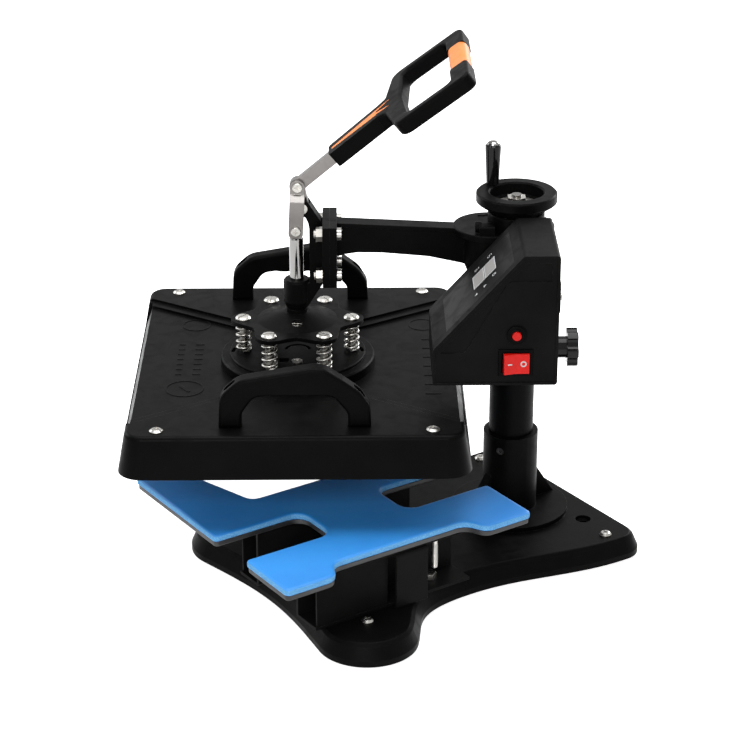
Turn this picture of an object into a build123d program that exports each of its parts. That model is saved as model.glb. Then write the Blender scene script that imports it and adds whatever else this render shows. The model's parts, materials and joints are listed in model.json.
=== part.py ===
from build123d import *
import math
import os

os.makedirs("parts", exist_ok=True)

# Shoe heat press with a swing-away head. Millimetres, +Z up, +X to the operator's right, +Y away from
# the operator. The origin is the centre of the four bench bolt holes, in the plane of the casting's
# underside. Head-side pieces are drawn with the head straight in front of the post, in a head frame
# whose origin is the plunger axis, and are then swung to the rest pose.

# Running fits and gaps
RUNNING_FIT = 0.08
BUSH_FIT = 0.1
SLIP_GAP = 0.3

# Stance of the whole machine
POST_BACK = 112.0
REACH = 216.0
REST_SWING = 33.5

# Base casting
CASTING_H = 21.5
SKIRT_H = 6.0
SKIRT_DRAFT = 24.0
CASTING_WALL = 7.0
CASTING_FLOOR = 7.0
SHOULDER_H = 3.5
TOP_ROUND = 2.0
LOBE_R = 49.0
LOBE_X = 116.0
LOBE_Y = -143.0
FRONT_MID_Y = -178.0
WAIST_X = 98.0
WAIST_Y = -12.0
REAR_X = 128.0
REAR_Y = 192.0
REAR_CORNER_R = 25.0
BENCH_X = 66.0
BENCH_Y = 157.0
BENCH_HOLE_R = 4.5
BENCH_SEAT_R = 8.0
BENCH_SEAT_DEPTH = 4.0
BENCH_BOSS_R = 12.0
REAR_FOOT_X = 106.0
REAR_FOOT_Y = 154.0
FOOT_R = 12.5
FOOT_DROP = 3.0
FOOT_T = 9.0
FOOT_SCREW_R = 2.5
FOOT_SCREW_HEAD_R = 6.0
FOOT_SCREW_HEAD_H = 3.4
POST_DISC_R = 60.0
POST_DISC_H = 5.0
POST_BOSS_R = 27.75
POST_BOSS_H = 88.2
GUSSET_T = 9.0
GUSSET_RISE = 42.0
GUSSET_RUN = 27.0

# Post and its nut
POST_R = 22.5
POST_WALL = 3.5
POST_FOOT_Z = 4.0
POST_TOP = 312.0
POST_NUT_H = 16.0
SCREW_R = 8.0
SET_SCREW_R = 4.0
SET_SCREW_DOWN = 14.0

# Cradle under the lower platen
RAIL_H = 60.0
RAIL_T = 3.0
RAIL_HALF = 89.0
RAIL_NEAR_X = 70.0
RAIL_FAR_X = 2.0
RAIL_TOP_W = 39.0
RAIL_FOOT_W = 34.0
RAIL_BEND_R = 2.5
SIDE_PLATE_T = 2.0
SIDE_PLATE_LEN = 80.0
STRAP_T = 3.0
STRAP_FRONT = -2.6
STRAP_W = 36.2
STRAP_BEND_R = 5.0
STRAP_LAP = 16.0
RAIL_BOLT_IN = 12.0
RAIL_BOLT_Y = 56.0
RAIL_BOLT_R = 4.0
STUD_IN = 24.0
STUD_Y = 54.0
STUD_R = 3.0
STUD_DROP = 39.5

# Lower platen: steel plate and foam pad with the shoe shaped outline
PLATE_T = 5.0
FOAM_T = 7.5
PAD_HALF_LEN = 139.5
SLOT_INNER_X = 8.0
SLOT_OUTER_X = 63.0
SLOT_END = 43.0
SLOT_CORNER_R = 15.0
PAD_NEAR_X = 113.0
PAD_FLARE_X = 135.0
PAD_FLARE_START = 75.0
PAD_FLARE_END = 86.0
PAD_FAR_X = -146.0
NOTCH_X = -40.0
NOTCH_HALF = 69.0
NOTCH_MOUTH = 98.0
PAD_CORNER_R = 4.0
PLATE_INSET = 1.2
PLATE_EDGE_R = 1.4
FOAM_EDGE_R = 1.2

# Upper platen
PRESS_GAP_H = 52.5
HEAT_X = 190.0
HEAT_Y = 147.5
HEAT_T = 19.5
HEAT_CORNER_R = 12.0
HEAT_EDGE_R = 1.5
ELEMENT_W = 9.0
ELEMENT_T = 4.0
ELEMENT_X = 150.0
ELEMENT_STEP = 58.0
INSULATION_T = 12.0
INSULATION_X = 176.0
INSULATION_Y = 140.0
CUTOUT_R = 9.0
CUTOUT_H = 8.0
CUTOUT_Y = 29.0
COVER_X = 196.6
COVER_Y = 167.6
COVER_LIFT = 4.0
COVER_H = 40.5
COVER_FLANK_LOW = 13.5
COVER_DRAFT = 10.5
COVER_CORNER_R = 24.0
COVER_ROUND = 5.0
COVER_WALL = 3.2
COVER_STEP = 2.6
COVER_DEEP = 5.2
RECESS_X = 42.0
RECESS_SLOPE = 0.65
RECESS_BAND = 13.0
RECESS_DISC_R = 100.0
COVER_SCREW_X = 174.0
COVER_SCREW_Y = 130.0
COVER_SCREW_R = 3.0
COVER_SCREW_HEAD_R = 6.5
COVER_SCREW_HEAD_H = 2.4

# Mount disc, springs and spider
DISC_R = 77.0
DISC_T = 10.0
DISC_STEP_R = 68.0
DISC_STEP_H = 3.0
SPRING_SPACE = 30.0
SPRING_R = 6.7
SPRING_WIRE_R = 1.25
SPRING_TURNS = 5
LOBE_COUNT = 6
LOBE_RING_R = 54.0
SPIDER_T = 4.0
SPIDER_TIP_R = 66.0
SPIDER_NECK_R = 50.0
DOME_R = 40.0
DOME_TOP_R = 13.0
DOME_H = 8.0
SPIDER_COLLAR_R = 10.6
SPIDER_COLLAR_H = 12.4
SHOULDER_R = 4.0
SHOULDER_HEAD_R = 7.75
SHOULDER_HEAD_H = 3.0
PLUG_X = 24.0
PLUG_R = 5.4
PLUG_H = 6.0
STANDOFF_R = 6.0

# Toggle linkage, in the head frame: y is the distance from the plunger axis towards the post
GUIDE_DROP = 13.0
GUIDE_LEN = 30.0
GUIDE_R = 13.25
GUIDE_TIP_R = 10.5
ROD_R = 7.0
ROD_LEN_UP = 86.0
TONGUE_HALF = 3.5
LEVER_PIVOT_Y = 6.0
LEVER_PIVOT_H = 119.0
CRANK_R = 21.4
CRANK_ANGLE = 100.8
LINK_LEN = 43.05
PIN_R = 4.0
LEVER_T = 8.6
LEVER_HUB_R = 7.0
LEVER_END_R = 8.0
BAR_HALF_H = 6.0
LEVER_ELEVATION = 39.9
EAR_R = 7.5
PIVOT_HEAD_R = 5.5
PIVOT_HEAD_H = 1.9
STRAP_LINK_T = 3.0
STRAP_LINK_HALF = 7.25
JOGGLE_START = 7.0
JOGGLE_DROP = 6.0
STRAP_LINK_IN = 11.2
LINK_SCREW_R = 5.0
LINK_SCREW_H = 2.4

# Lever handle
GRIP_START = 46.0
GRIP_LEN = 70.0
GRIP_HALF_W0 = 13.9
GRIP_HALF_W1 = 17.1
GRIP_TOP = 7.6
GRIP_TALL = 16.0
RING_BEND = 3.4
RING_HALF_W = 79.0
RING_LEN = 95.0
RING_SHOULDER = 11.0
RING_NECK_HALF = 22.0
WINDOW_HALF_W = 66.0
WINDOW_START = 19.0
RING_BAR = 20.5
WINDOW_END = RING_LEN - RING_BAR
RING_CORNER_R = 14.0
GRIP_SLEEVE_HALF = 33.0
INLAY_T = 1.4
BAR_IN_GRIP = 50.0

# Head casting, arm and hub
UPRIGHT_Y0 = 13.0
UPRIGHT_Y1 = 26.0
UPRIGHT_HALF = 8.5
FLANGE_T = 7.0
FLANGE_HALF_W = 30.0
FLANGE_LOW = 277.0
FLANGE_HIGH = 339.0
FLANGE_BOLT_X = 20.0
FLANGE_BOLT_IN = 9.5
FLANGE_BOLT_R = 4.0
NUT_FLATS = 13.0
NUT_H = 6.4
ARM_HALF_T = 7.0
ARM_LIP_HALF = 9.0
ARM_LIP_H = 4.0
HUB_R = 32.0
HUB_NOSE_R = 26.0
HUB_NOSE_BACK = 26.0
HUB_NOSE_Y = REACH - HUB_NOSE_BACK
HUB_NOSE_LOW = 282.0
HUB_TOP = 331.6
LID_R = 36.0
LID_T = 6.0
SLEEVE_LOW = 176.0
ARROW_H = 0.8
BOX_PAD_HALF_Y = 17.0
BOX_PAD_LOW = 240.0
BOX_PAD_HIGH = 300.0

# Bearing cap, pressure screw and handwheel
CAP_R = 28.0
CAP_H = 14.4
CAP_ROOF = 4.0
CAP_BORE_R = 21.0
CAP_SCREW_R = 2.0
CAP_EDGE_R = 1.3
CAP_SCREW_RING = 24.3
COLLAR_R = 19.5
COLLAR_T = 6.0
THRUST_T = 4.0
SCREW_BELOW = 60.0
WHEEL_R = 39.8
WHEEL_OPEN_R = 26.4
WHEEL_GAP = 1.0
WHEEL_WEB_T = 4.0
WHEEL_RIM_LOW = 9.5
WHEEL_RIM_H = 10.5
WHEEL_RING_R = 22.0
WHEEL_RING_BORE = 13.0
WHEEL_RING_T = 1.6
WHEEL_NUT_H = 8.0
WHEEL_NUT_R = 9.6
CRANK_X = -22.0
CRANK_Y = -22.5
CRANK_PIN_R = 3.0
CRANK_GRIP_R0 = 6.25
CRANK_GRIP_R1 = 7.85
CRANK_GRIP_H = 40.5
CRANK_CAP_R = 6.4
CRANK_CAP_H = 3.4

# Swing stop on the lid
STOP_X = 25.0
STOP_Y = HUB_NOSE_Y - 4.0
STOP_W = 15.0
STOP_D = 15.0
STOP_H = 9.0
STOP_LUG_R = 5.5

# Lock knob behind the sleeve
KNOB_Z = 200.2
KNOB_SCREW_R = 4.0
KNOB_COLLAR_R = 11.0
KNOB_COLLAR_LEN = 21.5
KNOB_HEAD_R = 19.5
KNOB_HEAD_LEN = 11.0
KNOB_WAIST_R = 15.0
KNOB_POINTS = 6

# Control box, in the head frame
BOX_X0 = 38.0
BOX_X1 = 142.0
RELAY_IN_X = 22.0
RELAY_IN_Y = 8.0
RELAY_L = 43.0
RELAY_W = 28.0
RELAY_H = 20.0
RELAY_POLE_IN = 8.0
RELAY_POLE_R = 4.0
RELAY_POLE_H = 2.5
BOX_Y0 = 130.2
BOX_Y1 = 248.2
BOX_Z0 = 222.0
BOX_SHOULDER_Z = 258.1
BOX_TOP_Y = 214.2
BOX_TOP_Z = 352.2
BOX_T = 2.5
BOX_LIP = 2.5
BOX_SIDE_T = 3.0
BOX_EDGE_R = 3.0
FIELD_RIM = 5.0
FIELD_DEPTH = 0.9
FIELD_TOP = 326.5
FIELD_LOW = 254.5
FIELD_Y_TOP = 200.3
FIELD_Y_LOW = 160.5
OVERLAY_X0 = 50.0
OVERLAY_X1 = 131.0
OVERLAY_S0 = 19.5
OVERLAY_S1 = 113.0
OVERLAY_T = 0.8
WINDOW_X0 = 72.5
WINDOW_X1 = 101.5
WINDOW_S = (60.5, 76.2)
WINDOW_W = 14.2
ROCKER_Y = 208.3
ROCKER_Z = 244.9
BEZEL_HALF_Y = 16.4
BEZEL_HALF_Z = 13.5
BEZEL_T = 2.0
ROCKER_HALF_Y = 12.3
ROCKER_HALF_Z = 10.0
ROCKER_RISE = 7.0
ROCKER_SWEEP = 1.1
ROCKER_TILT = 8.0
ROCKER_PIVOT_IN = 1.5
ROCKER_PIN_R = 1.5
SWITCH_BODY_DEEP = 22.0
RESET_Y = 208.8
RESET_Z = 272.9
RESET_R = 4.4
RESET_COLLAR_R = 9.5
RESET_COLLAR_H = 2.0
RESET_OUT = 4.2
RESET_BODY_DEEP = 26.0
INLET_X = 92.0
INLET_Z = 300.0
INLET_HALF_X = 25.0
INLET_HALF_Z = 15.5
INLET_FLANGE_T = 3.2
INLET_DEEP = 24.0
INLET_WELL_X = 12.1
INLET_WELL_Z = 8.1
INLET_WELL_DEEP = 17.0
INLET_SCREW_X = 20.0

# Side handles on the cover
HANDLE_X = 160.0
HANDLE_HALF_T = 9.0
HANDLE_FOOT_IN = 50.0
HANDLE_FOOT_OUT = 72.0
HANDLE_TALL = 60.0
HANDLE_REACH_H = 31.3
HANDLE_WAVES = 4
HANDLE_WAVE_R = 9.0
HANDLE_SCREW_Y = 61.0
HANDLE_SCREW_R = 2.5
HANDLE_WELL_HALF = 3.6
HANDLE_WELL_LONG = 5.5
HANDLE_EDGE_R = 3.6
HANDLE_SEAT_H = 9.0

# Heights that follow from the stack of pieces
RAIL_TOP = CASTING_H + RAIL_H
FOAM_LOW = RAIL_TOP + PLATE_T
PAD_TOP = FOAM_LOW + FOAM_T
HEAT_LOW = PAD_TOP + PRESS_GAP_H
HEAT_TOP = HEAT_LOW + HEAT_T
COVER_LOW = HEAT_LOW + COVER_LIFT
COVER_TOP = COVER_LOW + COVER_H
DISC_LOW = COVER_TOP - COVER_DEEP
DISC_TOP = DISC_LOW + DISC_T + DISC_STEP_H
SPIDER_LOW = DISC_TOP + SPRING_SPACE
SPIDER_TOP = SPIDER_LOW + SPIDER_T
GUIDE_LOW = SPIDER_TOP + GUIDE_DROP
GUIDE_TOP = GUIDE_LOW + GUIDE_LEN
HEAD_Y = POST_BACK - REACH
BOSS_TOP = CASTING_H + POST_BOSS_H
BORE_R = POST_R + BUSH_FIT

# Toggle geometry that follows: pivot A on the head, pin B on the lever, pin C on the plunger
PIVOT_Z = SPIDER_TOP + LEVER_PIVOT_H
PIN_B_Y = LEVER_PIVOT_Y + CRANK_R * math.cos(math.radians(CRANK_ANGLE))
PIN_B_Z = PIVOT_Z + CRANK_R * math.sin(math.radians(CRANK_ANGLE))
PIN_C_Z = PIN_B_Z - math.sqrt(LINK_LEN ** 2 - PIN_B_Y ** 2)
CLOSED_C_Z = PIVOT_Z - math.sqrt((CRANK_R + LINK_LEN) ** 2 - LEVER_PIVOT_Y ** 2)
STROKE = PIN_C_Z - CLOSED_C_Z
CLOSED_ANGLE = 180.0 + math.degrees(math.atan2(PIVOT_Z - CLOSED_C_Z, LEVER_PIVOT_Y))
LEVER_TURN = CLOSED_ANGLE - CRANK_ANGLE
LINK_ANGLE = 180.0 + math.degrees(math.atan2(PIN_B_Z - PIN_C_Z, PIN_B_Y))
LINK_TURN = CLOSED_ANGLE - LINK_ANGLE


def bar(x0, x1, y0, y1, z0, z1):
    """A block between three pairs of coordinates."""
    return Pos((x0 + x1) / 2, (y0 + y1) / 2, (z0 + z1) / 2) * Box(x1 - x0, y1 - y0, z1 - z0)


def rod_z(radius, z0, z1, x=0.0, y=0.0):
    """A round bar standing along Z."""
    return Pos(x, y, (z0 + z1) / 2) * Cylinder(radius, z1 - z0)


def rod_x(radius, x0, x1, y, z):
    """A round bar lying along X."""
    return Pos((x0 + x1) / 2, y, z) * Rot(0, 90, 0) * Cylinder(radius, x1 - x0)


def rod_y(radius, y0, y1, x, z):
    """A round bar lying along Y."""
    return Pos(x, (y0 + y1) / 2, z) * Rot(90, 0, 0) * Cylinder(radius, y1 - y0)


def hexagon_z(flats, z0, z1, x=0.0, y=0.0):
    """A hexagonal prism standing along Z."""
    return Pos(x, y, z0) * extrude(RegularPolygon(flats / 2, 6, major_radius=False), z1 - z0)


def hexagon_y(flats, y0, y1, x, z):
    """A hexagonal prism lying along Y."""
    side = Plane(origin=(x, y0, z), x_dir=(1, 0, 0), z_dir=(0, 1, 0))
    return extrude(side * RegularPolygon(flats / 2, 6, major_radius=False), y1 - y0)


def rounded(corners, plane=Plane.XY):
    """A face from corners (a, b) or (a, b, radius): straight sides joined by tangent arcs."""
    count = len(corners)
    starts = []
    ends = []
    middles = []
    for i, corner in enumerate(corners):
        here = Vector(corner[0], corner[1])
        before = Vector(corners[i - 1][0], corners[i - 1][1])
        after = Vector(corners[(i + 1) % count][0], corners[(i + 1) % count][1])
        radius = corner[2] if len(corner) > 2 else 0.0
        back = (before - here).normalized()
        on = (after - here).normalized()
        half = math.radians(back.get_angle(on)) / 2
        if radius == 0.0:
            starts.append(here)
            ends.append(here)
            middles.append(None)
            continue
        cut = radius / math.tan(half)
        centre = here + (back + on).normalized() * (radius / math.sin(half))
        starts.append(here + back * cut)
        ends.append(here + on * cut)
        middles.append(centre + (here - centre).normalized() * radius)
    edges = []
    for i in range(count):
        if middles[i] is not None:
            edges.append(Edge.make_three_point_arc(starts[i], middles[i], ends[i]))
        following = starts[(i + 1) % count]
        if (following - ends[i]).length > 1e-6:
            edges.append(Edge.make_line(ends[i], following))
    return plane * Face(Wire(edges))


def prism_x(corners, x0, x1):
    """Corners in (y, z), extruded from x0 to x1."""
    return extrude(rounded(corners, Plane.YZ.offset(x0)), x1 - x0, dir=(1, 0, 0))


def prism_z(corners, z0, z1):
    """Corners in (x, y), extruded from z0 to z1."""
    return extrude(rounded(corners, Plane.XY.offset(z0)), z1 - z0, dir=(0, 0, 1))


def prism_y(corners, y0, y1):
    """Corners in (x, z), extruded from y0 to y1."""
    plane = Plane(origin=(0, y0, 0), x_dir=(1, 0, 0), z_dir=(0, -1, 0))
    return extrude(rounded(corners, plane), y1 - y0, dir=(0, 1, 0))


def turned(profile, x=0.0, y=0.0):
    """A closed profile of (radius, z) turned about a vertical axis."""
    side = make_face(Plane.XZ * Polyline(*profile, close=True))
    return Pos(x, y, 0) * revolve(side, Axis.Z)


def rest_pose(shape):
    """From the head frame, aligned over the lower platen, to the swung rest pose."""
    return Pos(0, POST_BACK, 0) * Rot(0, 0, -REST_SWING) * Pos(0, -REACH, 0) * shape


def cross_slot(radius, width, depth, place):
    """Two crossed slots for a driver, cut downwards from a head's face."""
    slot = Box(radius * 1.1, width, 2 * depth) + Box(width, radius * 1.1, 2 * depth)
    return place * slot


def save(name, *shapes):
    """Write the solids of one sub-part."""
    solids = []
    for shape in shapes:
        solids.extend(shape.solids())
    item = solids[0] if len(solids) == 1 else Compound(solids)
    export_step(item, "parts/" + name + ".step")
    print(name, len(solids), "solid(s)", round(sum(s.volume for s in solids) / 1000, 2), "cm3")


def both_sides(shape):
    """The shape and its mirror image across the middle plane."""
    return [shape, mirror(shape, Plane.YZ)]


def casting_outline(inset):
    """Plan of the base casting, drawn in by an inset: round front lobes, a waist, a squarer rear."""
    start = math.radians(-100)
    finish = math.radians(45)
    middle = (start + finish) / 2
    lobe_r = LOBE_R - inset
    lobe = [(LOBE_X + lobe_r * math.cos(a), LOBE_Y + lobe_r * math.sin(a)) for a in (start, middle, finish)]
    into = (-math.sin(start), math.cos(start))
    out = (-math.sin(finish), math.cos(finish))
    front = Edge.make_spline([Vector(0, FRONT_MID_Y + inset), Vector(*lobe[0])],
                             [Vector(1, 0), Vector(*into)])
    round_lobe = Edge.make_three_point_arc(Vector(*lobe[0]), Vector(*lobe[1]), Vector(*lobe[2]))
    waist_x = WAIST_X - inset
    rear_x = REAR_X - inset
    rear_y = REAR_Y - inset
    corner_r = REAR_CORNER_R - inset
    narrowing = [
        Vector(*lobe[2]),
        Vector((LOBE_X + WAIST_X) / 2 + 8 - inset * 0.7, (LOBE_Y + WAIST_Y) / 2 - inset * 0.7),
        Vector(waist_x, WAIST_Y),
    ]
    side = Edge.make_spline(narrowing, [Vector(*out), Vector(0, 1)])
    rear_start = Vector(rear_x, rear_y - corner_r)
    widening = Edge.make_spline([narrowing[-1], rear_start], [Vector(0, 1), Vector(0, 1)])
    turn = math.sqrt(0.5) * corner_r
    centre = Vector(rear_x - corner_r, rear_y - corner_r)
    corner = Edge.make_three_point_arc(rear_start, centre + Vector(turn, turn), centre + Vector(0, corner_r))
    rear = Edge.make_line(centre + Vector(0, corner_r), Vector(0, rear_y))
    half = [front, round_lobe, side, widening, corner, rear]
    return Wire(half + [edge.mirror(Plane.YZ) for edge in half])


FOOT_PLACES = ((LOBE_X, LOBE_Y), (REAR_FOOT_X, REAR_FOOT_Y), (-LOBE_X, LOBE_Y), (-REAR_FOOT_X, REAR_FOOT_Y))
BENCH_PLACES = ((BENCH_X, BENCH_Y), (BENCH_X, -BENCH_Y), (-BENCH_X, BENCH_Y), (-BENCH_X, -BENCH_Y))
RAIL_SIDES = ((RAIL_NEAR_X, 1), (RAIL_FAR_X, -1))


def base_casting():
    """Hollow casting with bosses for the feet, the bench bolts and the post."""
    outline = Face(casting_outline(0.0))
    skirt = extrude(outline, SKIRT_H)
    shoulder_z = CASTING_H - SHOULDER_H
    lean = (shoulder_z - SKIRT_H) * math.tan(math.radians(SKIRT_DRAFT))
    rims = []
    for inset, z in ((0.0, SKIRT_H), (lean, shoulder_z), (lean + SHOULDER_H, CASTING_H)):
        rims.append(casting_outline(inset).moved(Location((0, 0, z))))
    body = skirt + Solid.make_loft(rims, ruled=True)
    rim = body.faces().sort_by(Axis.Z)[-1].edges()
    body = fillet(rim, TOP_ROUND)
    pocket = extrude(Face(casting_outline(CASTING_WALL + 2)), CASTING_H - CASTING_FLOOR)
    keep = []
    for x, y in FOOT_PLACES:
        keep.append(rod_z(FOOT_R - 2, FOOT_T - FOOT_DROP, CASTING_H, x, y))
    for x, y in BENCH_PLACES:
        keep.append(rod_z(BENCH_BOSS_R, 0, CASTING_H, x, y))
    keep.append(rod_z(POST_DISC_R - 20, 0, CASTING_H, 0, POST_BACK))
    keep.append(bar(-3, 3, FRONT_MID_Y + 2, REAR_Y - 2, 3, CASTING_H))
    for x in (-56, 56):
        keep.append(bar(x - 2.5, x + 2.5, FRONT_MID_Y + 30, REAR_Y - 2, 6, CASTING_H))
    for piece in keep:
        pocket = pocket - piece
    body = body - pocket
    body = body + rod_z(POST_DISC_R, CASTING_H - 1, CASTING_H + POST_DISC_H, 0, POST_BACK)
    body = body + rod_z(POST_BOSS_R, CASTING_H - 1, BOSS_TOP, 0, POST_BACK)
    disc_top = CASTING_H + POST_DISC_H
    gusset = [
        (POST_BACK - POST_BOSS_R - GUSSET_RUN, disc_top - 1),
        (POST_BACK + POST_BOSS_R + GUSSET_RUN, disc_top - 1),
        (POST_BACK + POST_BOSS_R - 2, disc_top + GUSSET_RISE),
        (POST_BACK - POST_BOSS_R + 2, disc_top + GUSSET_RISE),
    ]
    body = body + prism_x(gusset, -GUSSET_T / 2, GUSSET_T / 2)
    body = body - rod_z(POST_R, POST_FOOT_Z, BOSS_TOP + 1, 0, POST_BACK)
    for x, y in BENCH_PLACES:
        body = body - rod_z(BENCH_HOLE_R, -1, CASTING_H + 1, x, y)
        body = body - rod_z(BENCH_SEAT_R, CASTING_H - BENCH_SEAT_DEPTH, CASTING_H + 1, x, y)
    for x, y in FOOT_PLACES:
        body = body - rod_z(FOOT_SCREW_R, 0, CASTING_H + 1, x, y)
    for x, y in rail_bolt_places():
        body = body - rod_z(RAIL_BOLT_R, 2, CASTING_H + 1, x, y)
    body = body - set_screw_bars(POST_BOSS_R + 3)
    return body


def set_screw_bars(reach):
    """Radial bars at the three set screws of the post boss."""
    z = BOSS_TOP - SET_SCREW_DOWN
    bars = []
    for angle in (60, 180, 300):
        one = rod_x(SET_SCREW_R, POST_R, reach, 0, z)
        bars.append(Pos(0, POST_BACK, 0) * Rot(0, 0, angle) * one)
    return bars[0] + bars[1] + bars[2]


def post_set_screws():
    """Socket set screws that clamp the post in its boss."""
    z = BOSS_TOP - SET_SCREW_DOWN
    screws = []
    for angle in (60, 180, 300):
        one = rod_x(SET_SCREW_R, POST_R, POST_BOSS_R - 1, 0, z)
        hexagon = extrude(RegularPolygon(2, 6, major_radius=False), 4)
        socket = Pos(POST_BOSS_R - 3.5, 0, z) * Rot(0, 90, 0) * hexagon
        screws.append(Pos(0, POST_BACK, 0) * Rot(0, 0, angle) * (one - socket))
    return screws


def rubber_feet():
    """Four rubber feet under the casting's foot bosses."""
    feet = []
    for x, y in FOOT_PLACES:
        foot = rod_z(FOOT_R, -FOOT_DROP, FOOT_T - FOOT_DROP, x, y)
        foot = foot - rod_z(FOOT_SCREW_R, 0, FOOT_T, x, y)
        feet.append(foot)
    return feet


def foot_screws():
    """Domed screws down through the casting into the feet."""
    screws = []
    top = CASTING_H + FOOT_SCREW_HEAD_H
    for x, y in FOOT_PLACES:
        head = turned([(0, CASTING_H), (FOOT_SCREW_HEAD_R, CASTING_H), (FOOT_SCREW_HEAD_R, CASTING_H + 1.2),
                       (FOOT_SCREW_HEAD_R - 1.6, top - 0.4), (FOOT_SCREW_HEAD_R - 3, top), (0, top)], x, y)
        shank = rod_z(FOOT_SCREW_R, 0, CASTING_H, x, y)
        screws.append(head + shank - cross_slot(FOOT_SCREW_HEAD_R, 1.2, 1.4, Pos(x, y, top)))
    return screws


def column_post():
    """Steel tube clamped in the boss; the arm swings and slides on it."""
    post = rod_z(POST_R, POST_FOOT_Z, POST_TOP, 0, POST_BACK)
    return post - rod_z(POST_R - POST_WALL, POST_FOOT_Z - 1, POST_TOP + 1, 0, POST_BACK)


def post_nut():
    """Threaded bush fixed in the top of the post for the pressure screw."""
    nut = rod_z(POST_R - POST_WALL, POST_TOP - POST_NUT_H, POST_TOP, 0, POST_BACK)
    return nut - rod_z(SCREW_R + BUSH_FIT, POST_TOP - POST_NUT_H - 1, POST_TOP + 1, 0, POST_BACK)


def rail_bolt_places():
    places = []
    for web, side in RAIL_SIDES:
        for y in (-RAIL_BOLT_Y, RAIL_BOLT_Y):
            places.append((web + side * RAIL_BOLT_IN, HEAD_Y + y))
    return places


def stud_places():
    places = []
    for web, side in RAIL_SIDES:
        for y in (-STUD_Y, STUD_Y):
            places.append((web + side * STUD_IN, HEAD_Y + y))
    return places


def cradle_rails():
    """Two folded channel rails, open outwards, that carry the lower platen."""
    rails = []
    for web, side in RAIL_SIDES:
        section = [
            (0, CASTING_H, RAIL_BEND_R + 1), (RAIL_FOOT_W, CASTING_H), (RAIL_FOOT_W, CASTING_H + RAIL_T),
            (RAIL_T, CASTING_H + RAIL_T, 1.0), (RAIL_T, RAIL_TOP - RAIL_T, 1.0),
            (RAIL_TOP_W, RAIL_TOP - RAIL_T), (RAIL_TOP_W, RAIL_TOP, RAIL_T - 0.6),
            (0, RAIL_TOP, RAIL_BEND_R + 1),
        ]
        corners = [(web + side * c[0],) + c[1:] for c in section]
        rail = prism_y(corners, HEAD_Y - RAIL_HALF, HEAD_Y + RAIL_HALF)
        for x, y in rail_bolt_places():
            rail = rail - rod_z(RAIL_BOLT_R, CASTING_H - 1, CASTING_H + RAIL_T + 1, x, y)
        for x, y in stud_places():
            rail = rail - rod_z(STUD_R, RAIL_TOP - RAIL_T - 1, RAIL_TOP + 1, x, y)
        rails.append(rail)
    return rails


def rail_side_plates():
    """Closing plates at the front half of each rail, standing between the flanges."""
    plates = []
    for web, side in RAIL_SIDES:
        outer = web + side * (RAIL_FOOT_W - 1)
        inner = outer - side * SIDE_PLATE_T
        y0 = HEAD_Y - RAIL_HALF + 2
        plates.append(bar(min(outer, inner), max(outer, inner), y0, y0 + SIDE_PLATE_LEN,
                          CASTING_H + RAIL_T, RAIL_TOP - RAIL_T))
    return plates


def support_straps():
    """Folded straps hooked over the rails' top flanges and standing on the casting."""
    straps = []
    for web, side in RAIL_SIDES:
        flange = web + side * RAIL_TOP_W
        outer = flange + side * STRAP_T
        lap = flange - side * STRAP_LAP
        top = RAIL_TOP - RAIL_T
        y0 = HEAD_Y + STRAP_FRONT
        section = [
            (outer, CASTING_H, 0.8), (outer, top, STRAP_BEND_R - 2), (lap, top),
            (lap, top - STRAP_T), (outer - side * STRAP_T, top - STRAP_T, 0.8),
            (outer - side * STRAP_T, CASTING_H),
        ]
        straps.append(prism_y(section, y0, y0 + STRAP_W))
    return straps


def rail_bolts():
    """Hexagon bolts from the rails' lower flanges into the casting."""
    seat = CASTING_H + RAIL_T
    bolts = []
    for x, y in rail_bolt_places():
        bolts.append(hexagon_z(NUT_FLATS, seat, seat + 5.3, x, y) + rod_z(RAIL_BOLT_R, 6, seat, x, y))
    return bolts


def platen_studs():
    """Studs under the steel plate, through the rails' top flanges."""
    return [rod_z(STUD_R, RAIL_TOP - STUD_DROP, RAIL_TOP, x, y) for x, y in stud_places()]


def stud_nuts():
    """Nuts that pull the studs down on the rails."""
    seat = RAIL_TOP - RAIL_T
    return [hexagon_z(10.0, seat - 5.0, seat, x, y) - rod_z(STUD_R, seat - 6, seat + 1, x, y)
            for x, y in stud_places()]


def pad_outline(inset, corner_r):
    """The lower platen's plan: two shoe slots on the operator's right, a wide notch on the left."""
    r = corner_r
    slot_r = SLOT_CORNER_R + inset
    near = PAD_NEAR_X - inset
    flare = PAD_FLARE_X - inset
    end = PAD_HALF_LEN - inset
    quarter = [
        (near, PAD_FLARE_START + inset / 3, 14), (flare, PAD_FLARE_END + inset / 3, 12), (flare, end, r),
        (SLOT_OUTER_X + inset, end, r), (SLOT_OUTER_X + inset, SLOT_END - inset, slot_r),
        (SLOT_INNER_X - inset, SLOT_END - inset, slot_r), (SLOT_INNER_X - inset, end, r),
        (PAD_FAR_X + inset, end, r), (PAD_FAR_X + inset, NOTCH_MOUTH + inset, r),
        (NOTCH_X + inset, NOTCH_HALF + inset, 10),
    ]
    other = [(x, -y, radius) for x, y, radius in reversed(quarter)]
    return [(x, HEAD_Y + y, radius) for x, y, radius in quarter + other]


def lower_plate():
    """Steel plate under the foam."""
    plate = prism_z(pad_outline(PLATE_INSET, PAD_CORNER_R), RAIL_TOP, FOAM_LOW)
    edges = plate.faces().sort_by(Axis.Z)[0].edges()
    return fillet(edges, PLATE_EDGE_R)


def pressing_pad():
    """Foam pad of the same outline."""
    pad = prism_z(pad_outline(0.0, PAD_CORNER_R), FOAM_LOW, PAD_TOP)
    edges = pad.faces().sort_by(Axis.Z)[-1].edges()
    return fillet(edges, FOAM_EDGE_R)


def lobe_places(radius=LOBE_RING_R):
    step = 2 * math.pi / LOBE_COUNT
    return [(radius * math.sin(i * step), radius * math.cos(i * step)) for i in range(LOBE_COUNT)]


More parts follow.
